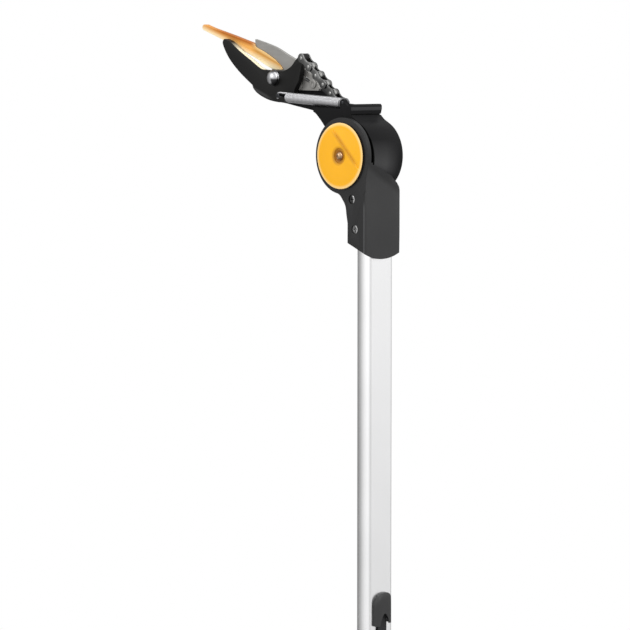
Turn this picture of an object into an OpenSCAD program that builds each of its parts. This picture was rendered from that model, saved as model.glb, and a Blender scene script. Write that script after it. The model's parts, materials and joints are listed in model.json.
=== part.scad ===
// Tree pruner on a fixed pole: hook jaw and blade on a tilting head, pulled by a strap and chain.
// Z runs up the pole from its foot, the head points to -X, and the lock knob faces -Y.

/* [Pole] */
// Length of the aluminium tube
pole_len = 1388; // [900:1:1600]
// Width of the tube across its round sides
pole_d = 32; // [30:0.5:34]
// Width of the tube across its flats
pole_flat = 18; // [17:0.5:20]
// Wall of the tube
pole_wall = 1.5; // [1.2:0.1:1.8]

/* [Butt cap] */
// Solid height of the cap below the tube
cap_solid = 28; // [22:1:40]
// Length of tube that the cap covers
cap_skirt = 34; // [20:1:60]
// Wall of the cap round the tube
cap_wall = 2.4; // [1.8:0.1:4]
// Diameter of the hanging hole
hang_hole_d = 9; // [6:0.5:12]

/* [Pole socket] */
// Pole axis to the front face of the socket
socket_front = 12; // [11.5:0.5:14]
// Pole axis to the back face of the socket
socket_back = 12.5; // [12:0.5:14]
// Pole axis to the far side of the socket
socket_far = 21; // [20:0.5:23]
// Length of tube inside the socket at the back
socket_grip = 49; // [42:0.5:70]
// Rise of the slanted lower edge from back to front
socket_slant = 10; // [0:0.5:18]
// Corner radius of the socket
socket_corner = 3; // [1.5:0.5:4]
// Drop of the upper screw below the hinge
upper_screw_drop = 39; // [38.5:0.5:40]
// Drop of the lower screw below the hinge
lower_screw_drop = 66; // [60:0.5:72]

/* [Tilt joint] */
// Hinge axis in front of the pole axis
hinge_offset = 18; // [17:0.5:19]
// Hinge axis above the end of the tube
hinge_rise = 44; // [43:0.5:50]
// Radius of the head's drum
drum_r = 32.8; // [32:0.2:34]
// Width of the head's drum
drum_w = 36.4; // [36:0.2:38]
// Wall of the drum
drum_wall = 5.8; // [4.5:0.1:6.5]
// Wall of the socket that hides the drum's lower back
tongue_wall = 1.5; // [1.2:0.1:2.5]
// Thickness of the knob-side cheek
cheek_t = 6.4; // [5.5:0.1:8]
// Open slit between cheek and drum
slit_w = 2.5; // [2:0.1:3.5]
// Radius of the toothed ring in the slit
tooth_ring_r = 25; // [22:0.5:28]
// Running gap between tilting and fixed faces
joint_gap = 0.35; // [0.3:0.05:0.6]
// Diameter of the hinge bolt
hinge_bolt_d = 10; // [8:0.5:12]
// Diameter of the lock knob
knob_d = 60; // [54:0.5:64]
// Thickness of the lock knob
knob_t = 2.6; // [2.2:0.1:4]
// Depth of the knob's stepped segment
knob_step = 0.8; // [0.4:0.1:1.2]
// Centre of the knob to its step
knob_step_off = 10; // [8:0.5:14]
// Diameter of the knob screw
knob_screw_d = 5; // [4:0.5:6]

/* [Cutting head] */
// Hinge axis to the jaw pivot, forwards
pivot_reach = 116.2; // [114:0.2:120]
// Hinge axis to the jaw pivot, upwards
pivot_rise = 69.1; // [67:0.2:71]
// Thickness of the hook jaw
jaw_t = 5.5; // [5:0.1:5.6]
// Thickness of the blade
blade_t = 3; // [2.4:0.1:3.6]
// Thickness of the frame's front arm
arm_t = 5; // [4:0.1:6]
// Wall of the blade guard
guard_wall = 1.1; // [0.9:0.1:1.5]
// Room between the guard and its neighbours
guard_clear = 0.3; // [0.25:0.05:0.5]
// Diameter of the jaw pivot bolt
pivot_d = 8; // [7:0.5:9]
// Wall of the bush in the jaw
bush_wall = 2; // [1.5:0.1:2.5]
// Diameter of the blade screws
blade_screw_d = 5; // [4:0.5:6]

/* [Chain and strap] */
// Pitch of the chain
chain_pitch = 12.7; // [12.5:0.1:13]
// Radius of the chain plates
plate_r = 4.3; // [4:0.1:4.4]
// Thickness of a chain plate
plate_t = 1.2; // [1:0.05:1.25]
// Radius of the chain pins
chain_pin_r = 1.8; // [1.5:0.1:2]
// Radius of the chain rollers
roller_r = 3.9; // [3.4:0.1:4.1]
// Width of the chain rollers
roller_w = 3.2; // [2.8:0.1:3.4]
// Width of the pull strap
strap_w = 11; // [9:0.5:12]
// Thickness of the pull strap
strap_t = 1.2; // [1:0.1:1.4]
// Radius of the pulley under the strap
pulley_r = 19; // [18.5:0.1:19.5]
// Height of the pulley flanges above the groove
pulley_flange = 4; // [3:0.2:5]
// Wall of the pulley's bush
pulley_bush_wall = 2.5; // [2:0.1:3]

/* [Return spring] */
// Outer diameter of the spring
spring_d = 11; // [10:0.2:11.4]
// Wire diameter
wire_d = 1.4; // [1.2:0.05:1.5]
// Number of curls
spring_turns = 41; // [30:1:42]
// Diameter of the spring posts
post_d = 3; // [2.5:0.1:3.4]

/* [Strap outlet] */
// Hinge axis down to the top of the outlet hood
outlet_drop = 398; // [300:1:500]
// Height of the hood
hood_h = 31; // [28:0.5:40]
// Width of the hood
hood_w = 20; // [18:0.5:24]
// Wall of the hood
hood_wall = 1.3; // [1:0.1:1.8]

/* [Pull handle] */
// Foot of the pole to the handle's lower end
handle_z = 520; // [300:5:700]
// Length of the handle
handle_len = 132; // [110:1:170]
// Wall of the handle core round the tube
core_wall = 4.2; // [4:0.1:6]
// Wall of the rubber grip
grip_wall = 3.4; // [2.5:0.1:5]
// Height of each end collar
collar_h = 13; // [12.5:0.5:20]
// Sliding gap between handle and tube
slide_gap = 0.35; // [0.3:0.05:0.6]

/* [Hidden] */
$fn = 64;
// Running fit, and the looser gap round seated pieces
fit = 0.05;
seat = 0.15;
// How far a cutting shape runs past the face it cuts, and how far fused shapes overlap
over = 1;
weld = 0.1;

// Heights along the pole
pole_z0 = cap_solid;
pole_z1 = pole_z0 + pole_len;
hinge_z = pole_z1 + hinge_rise;
hinge_x = -hinge_offset;
socket_z0 = pole_z1 - socket_grip;

// Layers of the tilt joint across the pole
drum_y1 = socket_far;
drum_y0 = drum_y1 - drum_w;
cheek_y1 = drum_y0 - slit_w;
cheek_y0 = cheek_y1 - cheek_t;
knob_y1 = cheek_y0 - joint_gap;
knob_y0 = knob_y1 - knob_t;
cradle_r = drum_r + joint_gap;
cheek_r = cradle_r + tongue_wall;
cavity_r = drum_r - drum_wall;
hinge = [hinge_x, 0];
near_wall_t = 4;
cover_t = 3.6;
cover_lip = 3;
dish_r = 7;
dish = 1.2;
knob_screw_l = 4;
hinge_washer_t = 1.5;
hinge_nut_t = 6;
hinge_nut_af = 17;

// Screws in the socket's knob-side face and in the drum's cover
socket_screw_r = 2;
screw_head_r = 4;
screw_head_t = 2.6;
screw_sink = 0.8;
socket_screw_at = [[-5, -upper_screw_drop], [-1, -lower_screw_drop]];
socket_screw_end = -strap_w / 2 - 3;
cover_screw_r = 1.5;
cover_screw_l = 7;

// Layers of the cutting head: jaw, guard wall, blade, guard wall, frame arm
layer = guard_wall + 2 * guard_clear;
blade_y0 = jaw_t / 2 + layer + guard_clear;
blade_y1 = blade_y0 + blade_t;
guard_y0 = blade_y0 - guard_clear - guard_wall;
guard_y1 = blade_y1 + guard_clear + guard_wall;
arm_y0 = guard_y1 + guard_clear;
arm_y1 = arm_y0 + arm_t;
pivot_x = hinge_x - pivot_reach;
pivot = [pivot_x, pivot_rise];
bush_r = pivot_d / 2 + fit + bush_wall;
boss_r = 6.8;
bolt_head_r = 7.6;
bolt_head_t = 5.5;
blade_screw_at = [[27, -6], [46, -5]];

// Chain line: from the jaw's arm to the pulley, which it meets as a tangent
arm_tip = [39, 18.8];
chain_start = pivot + arm_tip;
strap_r = pulley_r + strap_t / 2 + seat;
to_hinge = hinge - chain_start;
chain_span = sqrt(norm(to_hinge) ^ 2 - strap_r ^ 2);
chain_angle = atan2(to_hinge[1], to_hinge[0]) + asin(strap_r / norm(to_hinge));
chain_dir = [cos(chain_angle), sin(chain_angle)];
wrap_angle = 90 + chain_angle;
chain_links = 6;
inner_y = roller_w / 2 + seat;
outer_y = max(inner_y + plate_t, jaw_t / 2) + seat;
pin_half = outer_y + plate_t + 0.3;
clip_len = 15;
eye_w = 2 * (outer_y - seat);
eye_len = 11;
eye_at = chain_start + (chain_links * chain_pitch + clip_len) * chain_dir;
eye_r = chain_pin_r + fit + strap_t;
strap_x = hinge_x + strap_r;
pulley_half = strap_w / 2 + 0.8;
pulley_side = 1.5;

// Spring posts, in the plane of the head, and the spring's own layer
jaw_post = pivot + [16.7, -16.1];
frame_post = [hinge_x - 9, 48];
coil_r = (spring_d - wire_d) / 2;
spring_y = -pin_half - spring_d / 2 - 0.6;
loop_r = post_d / 2 + wire_d / 2 + seat;
spring_vec = frame_post - jaw_post;
spring_len = norm(spring_vec);
spring_angle = atan2(spring_vec[1], spring_vec[0]);
post_room = 1.2;
post_head_r = post_d / 2 + 0.7;
post_head_t = 0.8;
post_reach = spring_y - wire_d / 2 - post_room;

// Strap outlet and handle
outlet_z1 = hinge_z - outlet_drop;
outlet_z0 = outlet_z1 - hood_h;
flat_x = pole_flat / 2;
run_gap = 0.8;
run_x = flat_x + run_gap + strap_t / 2;
hood_x = run_x + strap_t / 2 + 0.6 + hood_wall;
core_in = slide_gap;
ferrule_h = 9;
ferrule_z = handle_z + handle_len - 16;
rib_count = 9;

// Side view of the frame: lower edge of its neck, rear lip and top of its knob-side wall
neck_end = hinge_x - 74;
neck_wall_end = hinge_x - 48;
neck_low = smooth([[hinge_x - 32.4, 25.8], [hinge_x - 39.9, 33.4], [hinge_x - 47.3, 38.8],
    [hinge_x - 58, 40.2], [neck_end, 39.6]]);
lip_x0 = hinge_x - 1;
lip_x1 = hinge_x + 4;
lip_top = 46.5;
lip_bevel = 1.5;
near_top = 44;

// Cutting edge and spine of the blade, counted from the jaw pivot
blade_edge = smooth([[-103.8, 45.2], [-81, 38.6], [-56.5, 30.9], [-35, 23.4], [-18, 16.2], [-9, 11.6]], 5);
blade_spine = [[-35, 30], [-65.5, 37.3], [-94, 44.1]];

// Path of the spring's wire from a loop on one post, round its curls, to a loop on the other
wire_sides = 6;
curl_rings = 8;
loop_steps = 9;
loop_turn = 29;
loop_lead = 1.6;
body_x0 = loop_r + 3.4;
body_len = spring_len - 2 * body_x0;
spring_path = concat(
    [for (k = [loop_steps : -1 : 0]) on_loop(0, 20 + k * loop_turn)],
    [[loop_r + loop_lead, 0, loop_r + loop_lead / 2]],
    [for (k = [0 : spring_turns * curl_rings]) on_curl(k / (spring_turns * curl_rings))],
    [[spring_len - loop_r - loop_lead, 0, loop_r + loop_lead / 2]],
    [for (k = [0 : loop_steps]) on_loop(spring_len, 160 - k * loop_turn)]);

// Path of the strap from the clip, round the pulley, down the tube, out at the outlet, to the handle
bend_steps = 10;
strap_line = concat(
    [eye_at + eye_len * chain_dir],
    arc(hinge, strap_r, wrap_angle, 0, 8),
    [for (k = [0 : bend_steps]) [s_bend(k / bend_steps), 12 - outlet_drop - k * (hood_h + 8) / bend_steps]],
    [[run_x, ferrule_z + ferrule_h - hinge_z]]);
eye_line = [eye_at, eye_at + (eye_len + over) * chain_dir];

// Smooth curve through a few points
function blend4(a, b, c, d, t) = (2 * b + (c - a) * t + (2 * a - 5 * b + 4 * c - d) * t ^ 2
    + (3 * b - a - 3 * c + d) * t ^ 3) / 2;
function smooth(p, steps = 4) = [
    for (i = [0 : len(p) - 2])
        for (k = [0 : steps - 1])
            blend4(p[max(i - 1, 0)], p[i], p[i + 1], p[min(i + 2, len(p) - 1)], k / steps),
    p[len(p) - 1]];
// Points along an arc
function arc(c, r, a0, a1, steps = 12) = [
    for (k = [0 : steps]) c + r * [cos(a0 + (a1 - a0) * k / steps), sin(a0 + (a1 - a0) * k / steps)]];
// Same points counted from another origin
function from(origin, p) = [for (q = p) origin + q];

// Outline in the plane of the head, pushed through from y0 to y1; its Z counts from the hinge axis
module across(y0, y1) {
    translate([0, y1, hinge_z]) rotate([90, 0, 0]) linear_extrude(y1 - y0) children();
}

// Round rod along Y, at a place in the plane of the head
module rod(at, r, y0, y1) {
    across(y0, y1) translate(at) circle(r);
}

// Six-sided nut or head along Y
module hex(at, flats, y0, y1) {
    across(y0, y1) translate(at) circle(d = flats / cos(30), $fn = 6);
}

// Section of the tube, grown by g
module pole_section(g = 0) {
    intersection() {
        circle(d = pole_d + 2 * g, $fn = 96);
        square([pole_flat + 2 * g, pole_d + 4 * g + 2], center = true);
    }
}

// Rectangle with round corners, from corner a to corner b
module round_box(a, b, r) {
    translate([a[0] + r, a[1]]) square([b[0] - a[0] - 2 * r, b[1] - a[1]]);
    translate([a[0], a[1] + r]) square([b[0] - a[0], b[1] - a[1] - 2 * r]);
    for (x = [a[0] + r, b[0] - r])
        for (y = [a[1] + r, b[1] - r])
            translate([x, y]) circle(r);
}

// Aluminium tube with the strap outlet and the socket screw's hole
module pole_tube() {
    color("silver") difference() {
        translate([0, 0, pole_z0]) linear_extrude(pole_len) difference() {
            pole_section();
            pole_section(-pole_wall);
        }
        translate([flat_x - 2 * pole_wall, -strap_w / 2 - 1, outlet_z0 + 2])
            cube([3 * pole_wall, strap_w + 2, hood_h - 4]);
        rod(socket_screw_at[1], socket_screw_r + seat, -pole_d, 0);
    }
}

// Rubber end with a flat foot and a hole to hang the pole by
module butt_cap() {
    height = cap_solid + cap_skirt;
    color("dimgray") difference() {
        linear_extrude(height) pole_section(cap_wall);
        translate([0, 0, cap_solid]) linear_extrude(height) pole_section(seat);
        translate([0, 0, cap_solid / 2]) rotate([0, 90, 0])
            cylinder(d = hang_hole_d, h = 2 * pole_d, center = true);
    }
}

// Places of the screws in the socket's knob-side face
module screw_places() {
    for (at = socket_screw_at) translate(at) children();
}

// Side view of the socket's knob-side cheek, running down into the sleeve
module cheek_outline() {
    front = -socket_front;
    back = smooth([[hinge_x + cheek_r, 0], [hinge_x + cheek_r - 0.8, -9], [socket_back + 0.9, -20],
        [socket_back, -31]]);
    throat = smooth([[front + socket_corner, -66], [front + 0.5, -54], [front - 1, -45.5],
        [front - 4.6, -40], [hinge_x - 3.5, -cheek_r - 0.4], [hinge_x - 12, -cheek_r + 2.4]]);
    translate(hinge) circle(cheek_r, $fn = 128);
    polygon(concat([hinge], back, throat));
}

// Black socket: sleeve on the tube, knob-side cheek, and a tongue behind the drum
module pole_socket() {
    tongue_top = -6;
    tongue_y = cheek_y1 + 27;
    far = socket_far;
    foot = -hinge_rise - socket_grip;
    tongue_slope = [[cheek_y1, tongue_top - 1], [tongue_y, -18.5], [far - 5, -24.5], [far - 2.4, -28.2],
        [far - 0.9, -32], [far, -36.5], [far + over, -42], [2 * far, -42], [2 * far, 100], [cheek_y1, 100]];
    far_lean = 2.4;
    sag_r = 52;
    sag_y = -2.5;
    sag = concat(arc([sag_y, sag_r], sag_r, 234, 306, 24), [[2 * sag_r, -sag_r], [-2 * sag_r, -sag_r]]);
    sag_tilt = atan(socket_slant / (socket_front + socket_back));
    mouth = 2.1;
    mouth_from = -9;
    mouth_to = 90;
    mouth_ring = concat(arc(hinge, cheek_r + over, mouth_from, mouth_to, 24),
        arc(hinge, cheek_r - 5, mouth_to, mouth_from, 24));
    head_depth = screw_sink + screw_head_t;
    way_gap = 1.5;
    color([0.26, 0.26, 0.27]) difference() {
        union() {
            translate([0, 0, socket_z0]) linear_extrude(tongue_top - foot)
                round_box([-socket_front, cheek_y0], [socket_back, far], socket_corner);
            across(cheek_y1 - weld, tongue_y) intersection() {
                cheek_outline();
                translate([0, -hinge_rise]) square([100, hinge_rise + tongue_top]);
            }
            across(cheek_y0, cheek_y1) cheek_outline();
        }
        rod(hinge, cradle_r, cheek_y1, far + over);
        translate([-100, 0, hinge_z]) rotate([90, 0, 90]) linear_extrude(200) polygon(tongue_slope);
        translate([0, 0, socket_z0 - over]) linear_extrude(socket_grip + over) pole_section(seat);
        translate([strap_x - 4, -strap_w / 2 - way_gap, pole_z1 - over])
            cube([9, strap_w + 2 * way_gap, hinge_rise]);
        across(cheek_y1 - mouth, cheek_y1 + weld) polygon(mouth_ring);
        translate([0, far, pole_z1]) rotate([-far_lean, 0, 0])
            translate([-pole_d, 0, -2 * socket_grip]) cube([2 * pole_d, pole_d, 2 * socket_grip]);
        translate([socket_back, 0, socket_z0]) rotate([0, sag_tilt, 0]) rotate([90, 0, 90])
            linear_extrude(200, center = true) polygon(sag);
        across(cheek_y0 - over, socket_screw_end + 0.5) screw_places() circle(socket_screw_r + fit);
        across(cheek_y0 - over, cheek_y0 + head_depth) screw_places() circle(screw_head_r + fit);
        rod(hinge, hinge_bolt_d / 2 + fit, cheek_y0 - over, cheek_y1 + over);
    }
}

// Pan-head screws with a cross recess
module socket_screws() {
    top = cheek_y0 + screw_sink;
    color("silver") difference() {
        union() {
            across(top, top + screw_head_t) screw_places() circle(screw_head_r);
            across(top + screw_head_t - weld, socket_screw_end) screw_places() circle(socket_screw_r);
        }
        across(top - 1, top + 1.4) screw_places() cross_recess(4.2, 1);
    }
}

module cross_recess(long, wide) {
    square([long, wide], center = true);
    square([wide, long], center = true);
}

// Bolt that the head tilts on, tapped for the knob's screw
module hinge_bolt() {
    end = drum_y1 + joint_gap + hinge_washer_t + hinge_nut_t + 1;
    color("silver") difference() {
        rod(hinge, hinge_bolt_d / 2, cheek_y0, end);
        rod(hinge, knob_screw_d / 2 + fit, cheek_y0 - over, cheek_y1 + knob_screw_l + 2);
    }
}

module hinge_washer() {
    y0 = drum_y1 + joint_gap;
    color("silver") difference() {
        rod(hinge, hinge_bolt_d + 1, y0, y0 + hinge_washer_t);
        rod(hinge, hinge_bolt_d / 2 + seat, y0 - over, y0 + hinge_washer_t + over);
    }
}

module hinge_nut() {
    y0 = drum_y1 + joint_gap + hinge_washer_t;
    color("silver") difference() {
        hex(hinge, hinge_nut_af, y0, y0 + hinge_nut_t);
        rod(hinge, hinge_bolt_d / 2 + seat, y0 - over, y0 + hinge_nut_t + over);
    }
}

// Toothed ring on the cheek that the knob presses towards the drum
module tooth_ring() {
    teeth = 36;
    tooth_r = 0.7;
    color("dimgray") across(cheek_y1, drum_y0 - joint_gap) translate(hinge) difference() {
        circle(tooth_ring_r, $fn = 96);
        circle(hinge_bolt_d / 2 + seat);
        for (k = [0 : teeth - 1])
            rotate(k * 360 / teeth) translate([tooth_ring_r, 0]) circle(tooth_r, $fn = 16);
    }
}

// Orange knob with a stepped segment and a dished centre
module lock_knob() {
    color([0.96, 0.70, 0.20]) difference() {
        rod(hinge, knob_d / 2, knob_y0, knob_y1);
        across(knob_y0 - over, knob_y0 + knob_step) translate(hinge) rotate(45)
            translate([knob_step_off, -knob_d]) square([knob_d, 2 * knob_d]);
        rod(hinge, dish_r, knob_y0 - over, knob_y0 + dish);
        rod(hinge, knob_screw_d / 2 + fit, knob_y0 - over, knob_y1 + over);
    }
}

module knob_screw() {
    head_r = 5;
    head_t = 1.1;
    recess_r = 2.6;
    color("silver") difference() {
        union() {
            rod(hinge, head_r, knob_y0 + dish - head_t, knob_y0 + dish);
            rod(hinge, knob_screw_d / 2, knob_y0 + dish - weld, cheek_y1 + knob_screw_l);
        }
        across(knob_y0 - over, knob_y0 + dish - 0.4) translate(hinge) circle(recess_r, $fn = 6);
    }
}

// Side view of the neck's floor
module neck_floor_outline() {
    thick = [3.2, 3.2];
    upper = [for (k = [len(neck_low) - 1 : -1 : 0]) neck_low[k] + thick];
    polygon(concat([hinge], neck_low, upper));
}

// Side view of the frame's knob-side wall, with the tab that carries a spring post
module near_wall_outline() {
    low = [for (p = neck_low) if (p[0] > neck_wall_end) p];
    tab = 3;
    under_coil = near_top - 1.8;
    front = [[neck_wall_end, near_top - 4], [neck_wall_end, near_top - 0.8],
        [frame_post[0] - tab, under_coil], [frame_post[0] - tab, frame_post[1]]];
    rear = [[lip_x0, near_top], [lip_x1, near_top - 4], [lip_x1, 0]];
    polygon(concat([hinge], low, front, arc(frame_post, tab, 170, 0, 8), rear));
}

// Side view of the far wall, which runs forward as the arm that carries the blade
module arm_outline() {
    lobe = from(pivot, smooth([[-39.3, -9.8], [-33.4, -15.1], [-22.9, -18.8], [-11.6, -22.1],
        [2.5, -23.6], [17.8, -26.1], [33, -28.4], [44, -30.2]]));
    top = from(pivot, smooth([[70, -21.5], [50, -9.5], [30, -1], [12, 7.5], [0, 9.5], [-12, 8], [-26, 2],
        [-36, -4.5]]));
    rear = [[hinge_x - 40, 33], hinge, [lip_x1, 0], [lip_x1, near_top - 4], [lip_x0, near_top]];
    polygon(concat(lobe, rear, top));
}

// Opening for the chain along its own line into the drum
module chain_way() {
    half = 6.2;
    y_half = max(strap_w / 2, pin_half) + 1;
    start = 2.4 * chain_pitch;
    translate([chain_start[0], 0, hinge_z + chain_start[1]]) rotate([0, -chain_angle, 0])
        translate([start, -y_half, -half]) cube([chain_span - start + 6, 2 * y_half, 2 * half]);
}

// Black frame: drum, open neck, front arm that carries the blade, and a rear lip
module head_frame() {
    exit_from = -160;
    exit_to = -37;
    exit_way = concat([hinge], arc(hinge, 2 * drum_r, exit_from, exit_to, 16));
    exit_half = strap_w / 2 + 2;
    lip_end = lip_x1 + 1.1;
    lip_notch = [lip_x1 - 0.2, drum_r + 3.8];
    lip_groove = [1.4, 1];
    lip_fillet = smooth([hinge + [16.4, drum_r - 4.5], hinge + [13, drum_r - 2.6], hinge + [9.2, drum_r - 0.6],
        hinge + [6.2, drum_r + 1.7], lip_notch]);
    lip_back = concat(lip_fillet, [lip_notch + [0, lip_groove[1]], [lip_end, drum_r + 9.2]]);
    boss_end = -pulley_half - pulley_side - joint_gap;
    color([0.21, 0.21, 0.21]) difference() {
        union() {
            rod(hinge, drum_r, drum_y0, drum_y1, $fn = 128);
            across(drum_y0, drum_y0 + near_wall_t) near_wall_outline();
            intersection() {
                across(drum_y0, arm_y1) neck_floor_outline();
                translate([0, 0, hinge_z - over]) linear_extrude(100) polygon([[hinge_x, drum_y0],
                    [neck_wall_end, drum_y0], [neck_end, arm_y0], [neck_end, arm_y1], [hinge_x, arm_y1]]);
            }
            across(arm_y0, arm_y1) arm_outline();
            rod(pivot, boss_r, blade_y1, arm_y0 + weld);
            for (s = blade_screw_at) rod(pivot + s, blade_screw_d, blade_y1, arm_y0 + weld);
            across(drum_y0, drum_y1) polygon(concat([[lip_x0, drum_r - 12]], lip_back,
                [[lip_end, lip_top - lip_bevel], [lip_end - lip_bevel, lip_top], [lip_x0, lip_top]]));
        }
        difference() {
            rod(hinge, cavity_r, drum_y0 + near_wall_t, drum_y1 - cover_t + weld);
            rod(hinge, hinge_bolt_d, drum_y0, boss_end);
        }
        rod(hinge, cavity_r + cover_lip, drum_y1 - cover_t, drum_y1 + over);
        rod(hinge, hinge_bolt_d / 2 + fit, drum_y0 - over, drum_y1);
        across(-exit_half, exit_half) polygon(exit_way);
        chain_way();
        rod(pivot, pivot_d / 2 + fit, blade_y1 - over, arm_y1 + over);
        for (s = blade_screw_at) rod(pivot + s, blade_screw_d / 2 + fit, blade_y1 - over, arm_y1 + over);
        rod(frame_post, post_d / 2 + fit, drum_y0 - over, drum_y0 + near_wall_t + over);
        across(drum_y0 - over, drum_y1 + over) translate(lip_notch - [lip_groove[0], 0])
            square(lip_groove + [over, 0]);
        cover_places(cover_screw_r + fit, drum_y1 - cover_t - cover_screw_l - 0.5, drum_y1 + over);
    }
}

// Rods at the places of the cover's screws
module cover_places(r, y0, y1) {
    for (a = [30, 150, 270]) rod(hinge + (cavity_r + 1.5) * [cos(a), sin(a)], r, y0, y1);
}

// Plate that closes the drum on the far side, with a boss for the pulley
module drum_cover() {
    y0 = drum_y1 - cover_t;
    color([0.21, 0.21, 0.21]) difference() {
        union() {
            rod(hinge, cavity_r + cover_lip - seat, y0, drum_y1);
            rod(hinge, hinge_bolt_d, pulley_half + pulley_side + joint_gap, y0 + weld);
        }
        rod(hinge, hinge_bolt_d / 2 + fit, 0, drum_y1 + over);
        cover_places(cover_screw_r + seat, y0 - over, drum_y1 + over);
    }
}

module cover_screws() {
    color("silver") cover_places(cover_screw_r, drum_y1 - cover_t - cover_screw_l, drum_y1);
}

// Pulley that turns the strap down into the tube
module strap_pulley() {
    side = pulley_half + pulley_side;
    window_r = 3.2;
    window_at = 13.5;
    color("gainsboro") difference() {
        union() {
            rod(hinge, pulley_r, -side, side);
            rod(hinge, pulley_r + pulley_flange, -side, -pulley_half);
            rod(hinge, pulley_r + pulley_flange, pulley_half, side);
        }
        rod(hinge, hinge_bolt_d / 2 + fit + pulley_bush_wall + fit, -side - over, side + over);
        for (a = [0 : 60 : 300])
            rod(hinge + window_at * [cos(a), sin(a)], window_r, -side - over, side + over);
    }
}

module pulley_bush() {
    side = pulley_half + pulley_side;
    color("peru") difference() {
        rod(hinge, hinge_bolt_d / 2 + fit + pulley_bush_wall, -side, side);
        rod(hinge, hinge_bolt_d / 2 + fit, -side - over, side + over);
    }
}

// Grey steel blade, with a shoulder that stops its guard and a tang on the frame's arm
module cutting_blade() {
    heel = smooth([[-9, 11.6], [-13, 4], [-10, -6], [2, -11]]);
    back = smooth([[54.6, -9], [47, 2], [41, 4.6], [33, 9.5], [24, 16], [8.4, 22.7], [-8.4, 29.5],
        [-35, 36.2]]);
    outline = concat(blade_edge, heel, [[53, -11.3]], back, blade_spine);
    color([0.61, 0.60, 0.58]) difference() {
        across(blade_y0, blade_y1) polygon(from(pivot, outline));
        rod(pivot, pivot_d / 2 + fit, blade_y0 - over, blade_y1 + over);
        for (s = blade_screw_at) rod(pivot + s, blade_screw_d / 2 + fit, blade_y0 - over, blade_y1 + over);
    }
}

// Low-headed screws through the blade's tang into the frame's arm
module blade_screws() {
    head_t = 1.2;
    head_r = blade_screw_d - 0.6;
    recess_r = 1.8;
    color("silver") difference() {
        for (s = blade_screw_at) {
            rod(pivot + s, head_r, blade_y0 - head_t, blade_y0);
            rod(pivot + s, blade_screw_d / 2, blade_y0 - weld, arm_y1);
        }
        for (s = blade_screw_at)
            across(blade_y0 - head_t - over, blade_y0 - 0.5) translate(pivot + s) circle(recess_r, $fn = 6);
    }
}

// Shiny round-headed bolt that the jaw turns on
module pivot_bolt() {
    face = -jaw_t / 2 - guard_clear;
    dome_r = 8;
    color("white") union() {
        intersection() {
            rod(pivot, bolt_head_r, face - bolt_head_t, face);
            translate([pivot[0], face - bolt_head_t + dome_r, hinge_z + pivot[1]]) sphere(dome_r, $fn = 96);
        }
        rod(pivot, pivot_d / 2, face - weld, arm_y1 + 8);
    }
}

module pivot_nut() {
    nut_t = 6.5;
    nut_af = 13;
    color("silver") difference() {
        hex(pivot, nut_af, arm_y1, arm_y1 + nut_t);
        rod(pivot, pivot_d / 2 + seat, arm_y1 - over, arm_y1 + nut_t + over);
    }
}

// Spacer that leaves room for the guard between jaw and blade
module pivot_washer() {
    color("silver") difference() {
        rod(pivot, boss_r - 0.6, jaw_t / 2 + guard_clear, blade_y0);
        rod(pivot, pivot_d / 2 + fit, 0, blade_y0 + over);
    }
}

// Black hook jaw with a short arm for the chain
module hook_jaw() {
    outer = smooth([[-73.6, 32], [-71.3, 27.3], [-65, 18.8], [-56, 10.4], [-44.8, 2], [-31, -6.8]]);
    lower = smooth([[-29.4, -9.2], [-20, -15.2], [-5, -19.5], [10, -21.6], [18, -21.3], [25, -17],
        [29, -9.4], [33.4, -3.4], [35.4, 2], [36.8, 8.5], [40.6, 14.4]]);
    inner = smooth([[34.6, 20.8], [29.6, 16.8], [23.3, 11], [14.3, 7.2], [4, 6.8], [-6.1, 7.3],
        [-18.2, 8.6], [-33.3, 16.6], [-49, 25.1], [-63.6, 34.6]]);
    tip_r = 4.2;
    point = arc([-70.2, 33], 3.5, 55, 185, 8);
    color([0.20, 0.19, 0.19]) difference() {
        across(-jaw_t / 2, jaw_t / 2)
            polygon(from(pivot, concat(outer, lower, arc(arm_tip, tip_r, -50, 135, 10), inner, point)));
        rod(pivot, bush_r + fit, -jaw_t, jaw_t);
        rod(chain_start, chain_pin_r + fit, -jaw_t, jaw_t);
        rod(jaw_post, post_d / 2 + fit, -jaw_t, jaw_t);
    }
}

module jaw_bush() {
    color("peru") difference() {
        rod(pivot, bush_r, -jaw_t / 2, jaw_t / 2);
        rod(pivot, pivot_d / 2 + fit, -jaw_t, jaw_t);
    }
}

module jaw_spring_post() {
    color("silver") union() {
        rod(jaw_post, post_d / 2, post_reach, jaw_t / 2);
        rod(jaw_post, post_head_r, post_reach - post_head_t, post_reach);
    }
}

module frame_spring_post() {
    end = spring_y + wire_d / 2 + post_room;
    color("silver") union() {
        rod(frame_post, post_d / 2, drum_y0, end);
        rod(frame_post, post_head_r, end, end + post_head_t);
    }
}

// Chain: places of the pins, and one plate between two of them
function pin_at(k) = chain_start + k * chain_pitch * chain_dir;
module plate_outline(k) {
    translate(pin_at(k)) rotate(chain_angle) difference() {
        union() {
            circle(plate_r);
            translate([chain_pitch, 0]) circle(plate_r);
            translate([0, -0.72 * plate_r]) square([chain_pitch, 1.44 * plate_r]);
        }
        circle(chain_pin_r + fit);
        translate([chain_pitch, 0]) circle(chain_pin_r + fit);
    }
}

module plate_pair(k, y) {
    across(y, y + plate_t) plate_outline(k);
    across(-y - plate_t, -y) plate_outline(k);
}

module chain_outer_links() {
    color("gray") for (k = [0 : 2 : chain_links - 1]) plate_pair(k, outer_y);
}

module chain_inner_links() {
    color("darkgray") for (k = [1 : 2 : chain_links - 1]) plate_pair(k, inner_y);
}

module chain_pins() {
    color("silver") for (k = [0 : chain_links]) rod(pin_at(k), chain_pin_r, -pin_half, pin_half);
}

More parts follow.
